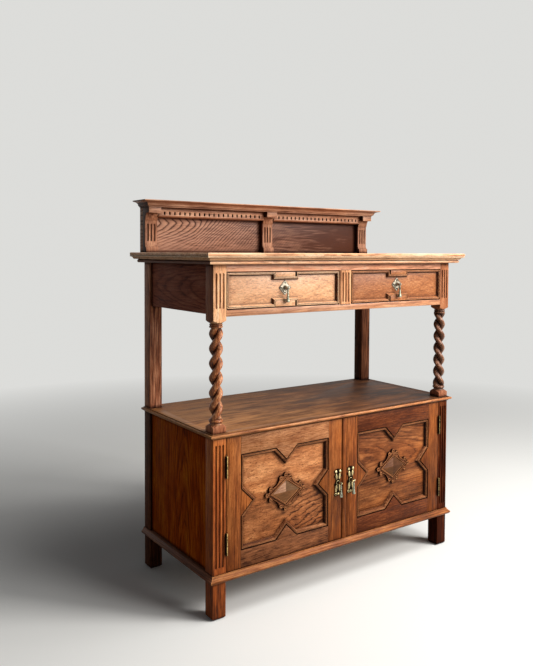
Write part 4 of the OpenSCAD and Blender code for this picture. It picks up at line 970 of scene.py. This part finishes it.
# Bosses
# A pyramid in a rhombic frame, planted on flat strapwork with a three-lobed tip at each end,
# all carved from oak and glued to the middle of the panel.
strap_oak = oak(
    "strap", "XZY", (-234, -215, 332), ((60, 28, 12), (124, 72, 40), (190, 126, 80)),
    heart=(0, 60), flecks=0.6, wear_and_highlight=0.8, seed=33)
# Near-black oak: painted shadow under the walls of the strapwork and pyramid, in the eyes and in
# the groove round the pyramid.
painted_shadow_oak = oak(
    "cut", "XZY", (-234, -215, 332), ((8, 4, 3), (20, 9, 6), (50, 26, 15)), heart=(0, 60),
    dirt_and_shade=1, wear_and_highlight=0.15, shine=(0.6, 0.03), seed=33)
# Four copies of one oak for the facets of each pyramid, lighter or darker by how each faces the
# lamps, and darker on the right door: painted light and shade.
FACET_LIGHT_AND_SHADE_TONES = {
    "left": (
        ((70, 46, 34), (142, 100, 78), (196, 152, 122)),
        ((46, 30, 18), (98, 70, 46), (146, 110, 80)),
        ((34, 18, 8), (92, 56, 30), (160, 108, 66)),
        ((34, 16, 8), (88, 52, 28), (160, 108, 66))),
    "right": (
        ((42, 24, 16), (86, 54, 38), (134, 94, 72)),
        ((36, 20, 12), (74, 44, 26), (120, 78, 50)),
        ((26, 13, 6), (76, 44, 22), (130, 84, 48)),
        ((24, 11, 5), (62, 34, 18), (112, 70, 40)))}
BOSS = (60, 42)


def strapwork(x, z):
    """Outline of the strapwork round a middle: three lobes at each end, hollow sweeps between."""
    quarter = (arc((71, 0), 7, 0, 128, 6) + arc((57, 16), 7.5, -62, 172, 10)
               + [(44, 20), (38, 23), (33, 27), (29, 32), (26, 38)]
               + arc((18, 44), 7.2, -40, 140, 8) + arc((0, 53), 7, -38, 90, 6)[:-1])
    half = quarter + [(0, 60)] + [(-px, pz) for px, pz in reversed(quarter)]
    ring = half + [(px, -pz) for px, pz in reversed(half[1:-1])]
    return [(x + px, z + pz) for px, pz in ring]


def button(place, sizes, lean=0):
    """A rounded button half sunk in what carries it: its middle and half sizes in millimetres,
    and how many degrees it leans."""
    bpy.ops.object.select_all(action="DESELECT")
    bpy.ops.mesh.primitive_uv_sphere_add(
        segments=20, ring_count=10, radius=0.001, location=Vector(place) / 1000)
    piece = bpy.context.active_object
    piece.scale = sizes
    piece.rotation_euler.y = math.radians(lean)
    bpy.ops.object.transform_apply(location=True, rotation=True, scale=True)
    smooth(60)
    return piece


def hoop(place, major, minor, axis):
    """A ring of round wire about an axis, X or Y."""
    bpy.ops.object.select_all(action="DESELECT")
    spun = {"X": (0, math.pi / 2, 0), "Y": (math.pi / 2, 0, 0)}[axis]
    bpy.ops.mesh.primitive_torus_add(
        major_segments=32, minor_segments=10, major_radius=major / 1000,
        minor_radius=minor / 1000, location=Vector(place) / 1000, rotation=spun)
    piece = bpy.context.active_object
    bpy.ops.object.transform_apply(location=True, rotation=True, scale=True)
    smooth(60)
    return piece


for side in ("left", "right"):
    body = side + "_door"
    mx, mz = sum(FIELDS[side]) / 2, sum(FIELD_Z) / 2
    base = outlined("strapwork", strapwork(mx, mz), PANEL_FACE,
                    [(0, 6.2), (0.7, 0.8), (1.5, 0), (0.5, -1.6)])
    only(base)
    smooth(40)
    eyes = []
    for px, pz in ((57, 16), (57, -16), (-57, 16), (-57, -16), (18, 44), (18, -44), (-18, 44),
                   (-18, -44), (71, 0), (-71, 0), (0, 53), (0, -53)):
        eyes += [hoop((mx + px, PANEL_FACE - 5.4, mz + pz), 3.4, 1.1, "Y"),
                 button((mx + px, PANEL_FACE - 5.2, mz + pz), (3, 0.7, 3))]
        # The eye's middle button takes the near-black finish: painted shadow of a hollow.
        choose(eyes[-1], lambda face: 5)
    bx, bz = BOSS
    rhomb = [(mx + bx, mz), (mx, mz + bz), (mx - bx, mz), (mx, mz - bz)]
    pyramid = outlined("pyramid", rhomb, PANEL_FACE, [
        (0, 7.8), (0.6, 1), (1.5, 0), (0.5, -1.4), (0.8, -4.4), (1.9, 0), (0.4, 3.6), (0.8, 0.6)],
        apex=7.3)
    for face in pyramid.data.polygons:
        px, pz = face.center.x * 1000 - mx, face.center.z * 1000 - mz
        out = abs(px) / bx + abs(pz) / bz
        # On the rim, the groove takes the near-black finish: painted shadow.
        if out > 0.8:
            face.material_index = 5 if 0.84 < out < 0.93 else 0
        else:
            # Each facet takes its lit or shaded copy: painted light and shade.
            face.material_index = 1 + 2 * (pz < 0) + (px > 0)
    # Faces that look left or down, and upright walls, take the near-black finish: painted shade
    # and shadow.
    shade(base, 5)
    for piece in (base, pyramid):
        choose(piece, lambda face: 5 if abs(face.normal.y) < 0.5 else None)
    for piece in eyes:
        shade(piece, 5)
    finishes = [strap_oak] + [
        oak(
            "%s_facet_%d" % (side, i), "XZY", (mx, -220, mz), tones, heart=(0, 60), rings=0.25,
            fibre=(60, 200), fleck=(90, 240), flecks=0.8, stain=0.8, wear_and_highlight=0.3,
            seed=34 + i) for i, tones in enumerate(FACET_LIGHT_AND_SHADE_TONES[side])] + [painted_shadow_oak]
    fit(glued(body + "_boss_carved", [base, *eyes, pyramid], finishes), finishes, body + "_boss",
        body=body)

# Hinges and catches
# Two butt hinges on each door with five knuckles and a pin, and two bent spring strips that
# hold the closed doors. All are brass, dark in the corners by tarnish and painted shade, with
# the faces that look left painted near black as shade, and bright where hands pass.


def brass(name, light, dark, rough, seed, dirt_and_shade=1):
    """Old brass: bright high places, brown tarnish in patches, and hollows darkened towards
    black, partly by tarnish and partly as painted shade.
    """
    f = Finish(bpy.data.materials.new(name))
    place = f.step("TexCoord", "Object")
    patch = f.noise(place, (150, 150, 150), 4, 0.6, seed)
    pit = f.noise(place, (700, 700, 700), 3, 0.6, seed + 2)
    colour = f.scaled(pit, 0.4, f.times(patch, 0.8))
    colour = f.ramp(colour, (0.48, tint(*dark)), (0.62, tint(*light)))
    # Hollows darken towards black: partly tarnish, partly painted shade.
    hollow = f.step("AmbientOcclusion", "AO", {"Distance": 0.006}, samples=8)
    dirt_and_shade_mask = f.ramp(hollow, (0.45, dirt_and_shade), (0.7, dirt_and_shade * 0.85), (0.93, 0))
    colour = f.mix("MIX", dirt_and_shade_mask, colour, tint(14, 10, 8))
    edge = f.step("AmbientOcclusion", "AO", {"Distance": 0.0012}, samples=8, inside=True)
    light_edge = f.ramp(edge, (0.3, 0.6), (0.65, 0))
    colour = f.mix("MIX", light_edge, colour, tint(*light))
    bump = f.step("Bump", 0, {"Strength": 0.25, "Distance": 0.0003, "Height": pit})
    polish = f.scaled(dirt_and_shade_mask, 0.35, f.scaled(patch, 0.3, rough))
    return f.done({"Base Color": colour, "Metallic": 1.0, "Roughness": polish, "Normal": bump})


hinge_brass = brass("hinge_brass", (206, 172, 108), (50, 35, 20), 0.25, 3)
pull_brass = brass("pull_brass", (214, 192, 140), (70, 52, 30), 0.14, 5)
ground_brass = brass("ground_brass", (34, 25, 17), (12, 8, 6), 0.5, 6)
plate_brass = brass("plate_brass", (176, 166, 148), (58, 48, 38), 0.3, 7, 0.7)
drop_brass = brass("drop_brass", (168, 170, 150), (44, 44, 36), 0.18, 8)
for node, body in (("hinge_frame_leaves", "carcass"), ("door_catches", "carcass"),
                   ("left_door_hinge_leaves", "left_door"),
                   ("right_door_hinge_leaves", "right_door")):
    piece = planed(node, 0.3)
    # Faces that look left take the near-black ground brass: painted shade.
    choose(piece, lambda face: int(face.normal.x < -0.2))
    fit(piece, [hinge_brass, ground_brass], body=body, slot=BRASS)

# Pulls
# A cast plate with two ears and a pin, nailed to the front, and a turned drop that hangs on
# the pin. The drawers have square plates on their points, the doors long scrolled ones.
DRAWER_PULL, DOOR_PULL_Z = (-240.5, 968.5), 324.75
DOOR_PULLS = {"left": -26.75, "right": 28.75}
PLATE = 2


def hang_drop(body, x, pin_y, pin_z):
    """A turned drop with a flared end and a collar, and the eye by which it hangs on the pin."""
    name = body + "_turned"
    shape = [(0, -44), (5, -44), (6, -43.2), (6.2, -42), (5.8, -39.5), (4.6, -35),
             (3.6, -29), (3, -23.5), (2.8, -18), (3, -13.5), (2.6, -11.4), (3.5, -10.8),
             (3.8, -9.8), (3.5, -8.8), (2.2, -8.2), (1.9, -6.5), (1.7, -3.4), (0, -3.4)]
    stem = turned(name, [(r, pin_z + z) for r, z in shape], (x, pin_y), 24)
    piece = glued(name, [stem, hoop((x, pin_y, pin_z), 2.8, 1.42, "X")])
    fit(piece, [drop_brass], body, body=body, slot=BRASS)


for side, sign in (("left", 1), ("right", -1)):
    x, z = sign * DRAWER_PULL[0], DRAWER_PULL[1]
    body, d = side + "_drawer", 33 / math.sqrt(2)
    front = DRAWER_FIELD - PLATE
    plate = outlined("plate", [(x, z - d), (x + d, z), (x, z + d), (x - d, z)], DRAWER_FIELD,
                     [(0, 1.2), (0.9, 0.8), (1.6, 0), (0.4, -0.5), (2.2, 0.3)])
    studs = []
    for px, pz in ((0, 14.5), (0, -14.5), (14.5, 0), (-14.5, 0), (0, 0)):
        sizes = (2.3, 0.9, 2.3) if px or pz else (6.6, 0.9, 6.6)
        studs.append(button((x + px, front, z + pz), sizes))
        # Nail heads and the middle disc take the near-black ground brass; the middle disc is
        # painted shadow where the plate's hole lies.
        choose(studs[-1], lambda face: 1)
    fork = kept_part(body + "_plate", "fork", (0, front - 0.05, 0), (0, -1, 0))
    studs.append(hoop((x, front, z), 6.6, 0.7, "Y"))
    finishes = [plate_brass, ground_brass]
    fit(glued(body + "_plate_cast", [plate, fork, *studs], finishes), finishes, body + "_plate",
        body=body, slot=BRASS)
    hang_drop(body + "_drop", x, front - 15, z)

    x, z, body = DOOR_PULLS[side], DOOR_PULL_Z, side + "_door"
    front = FRONT - PLATE
    ground = planed(body + "_plate", 0.4)
    choose(ground, lambda face: int(face.center.y > (front - 8) / 1000))
    relief = [hoop((x, front, z), 6.4, 1, "Y"), button((x, front, z - 38), (3, 2, 4))]
    for s in (-1, 1):
        relief += [button((x + s * 6.6, front + 0.3, z + 20), (4.6, 2.9, 10.5), s * 8),
                   button((x + s * 7.4, front + 0.3, z - 19), (4.6, 2.9, 12.5), -s * 8),
                   button((x + s * 9, front + 0.2, z + 36.5), (4.8, 2.6, 4.8)),
                   hoop((x + s * 9.4, front, z - 37.5), 3.4, 1.3, "Y")]
    finishes = [pull_brass, ground_brass]
    fit(glued(body + "_plate_cast", [ground, *relief], finishes), finishes, body + "_plate",
        body=body, slot=BRASS)
    hang_drop(body + "_drop", x, front - 15, z)

# Studio
# A plain pale floor that runs into the pale background, a large soft lamp high at the right
# front, a smaller one at the front, one overhead, and even light from a dim room.
BACKDROP = (0.72, 0.72, 0.7, 1)
bpy.ops.object.select_all(action="DESELECT")
bpy.ops.mesh.primitive_circle_add(vertices=96, radius=8, fill_type="NGON")
floor = bpy.context.active_object
floor.name = "floor"
f = Finish(bpy.data.materials.new("floor_finish"))
place = f.step("TexCoord", "Object")
far = f.step("VectorMath", "Value", {0: place}, operation="LENGTH")
far = f.ramp(f.times(far, 0.2), (0.3, 0), (0.75, 1))
seen = f.shown()
ground = f.mix("MIX", seen, (0.22, 0.21, 0.19, 1), (0.8, 0.8, 0.78, 1))
ground = f.step("BsdfDiffuse", 0, {"Color": ground})
haze = f.step("Emission", 0, {"Color": BACKDROP, "Strength": 1.0})
floor.data.materials.append(f.close(
    f.step("MixShader", 0, {0: f.times(seen, far), 1: ground, 2: haze})))


def lamp(name, place, target, size, power, colour):
    """A soft square lamp that looks at a point."""
    light = bpy.data.lights.new(name, "AREA")
    light.shape = "SQUARE"
    light.size = size
    light.energy = power
    light.color = colour
    holder = bpy.data.objects.new(name, light)
    holder.location = place
    holder.rotation_euler = (Vector(target) - Vector(place)).to_track_quat("-Z", "Y").to_euler()
    bpy.context.scene.collection.objects.link(holder)


lamp("window", (2.3, -2.6, 2.4), (0, -0.2, 0.7), 1.2, 152, (1, 0.98, 0.95))
lamp("front", (1.15, -3.3, 1.35), (-0.2, -0.2, 0.9), 1.1, 36, (1, 0.99, 0.97))
lamp("ceiling", (0.6, -1.0, 3.2), (0.1, -0.4, 0), 1.5, 62, (1, 0.99, 0.97))
room = bpy.data.worlds.new("room")
bpy.context.scene.world = room
f = Finish(room)
glow = f.step("Background", 0, {"Color": (0.97, 0.98, 1, 1), "Strength": 0.09})
backdrop = f.step("Background", 0, {"Color": BACKDROP, "Strength": 1.0})
f.close(f.step("MixShader", 0, {0: f.shown(), 1: glow, 2: backdrop}), "World")
bpy.context.scene.view_settings.view_transform = "Standard"
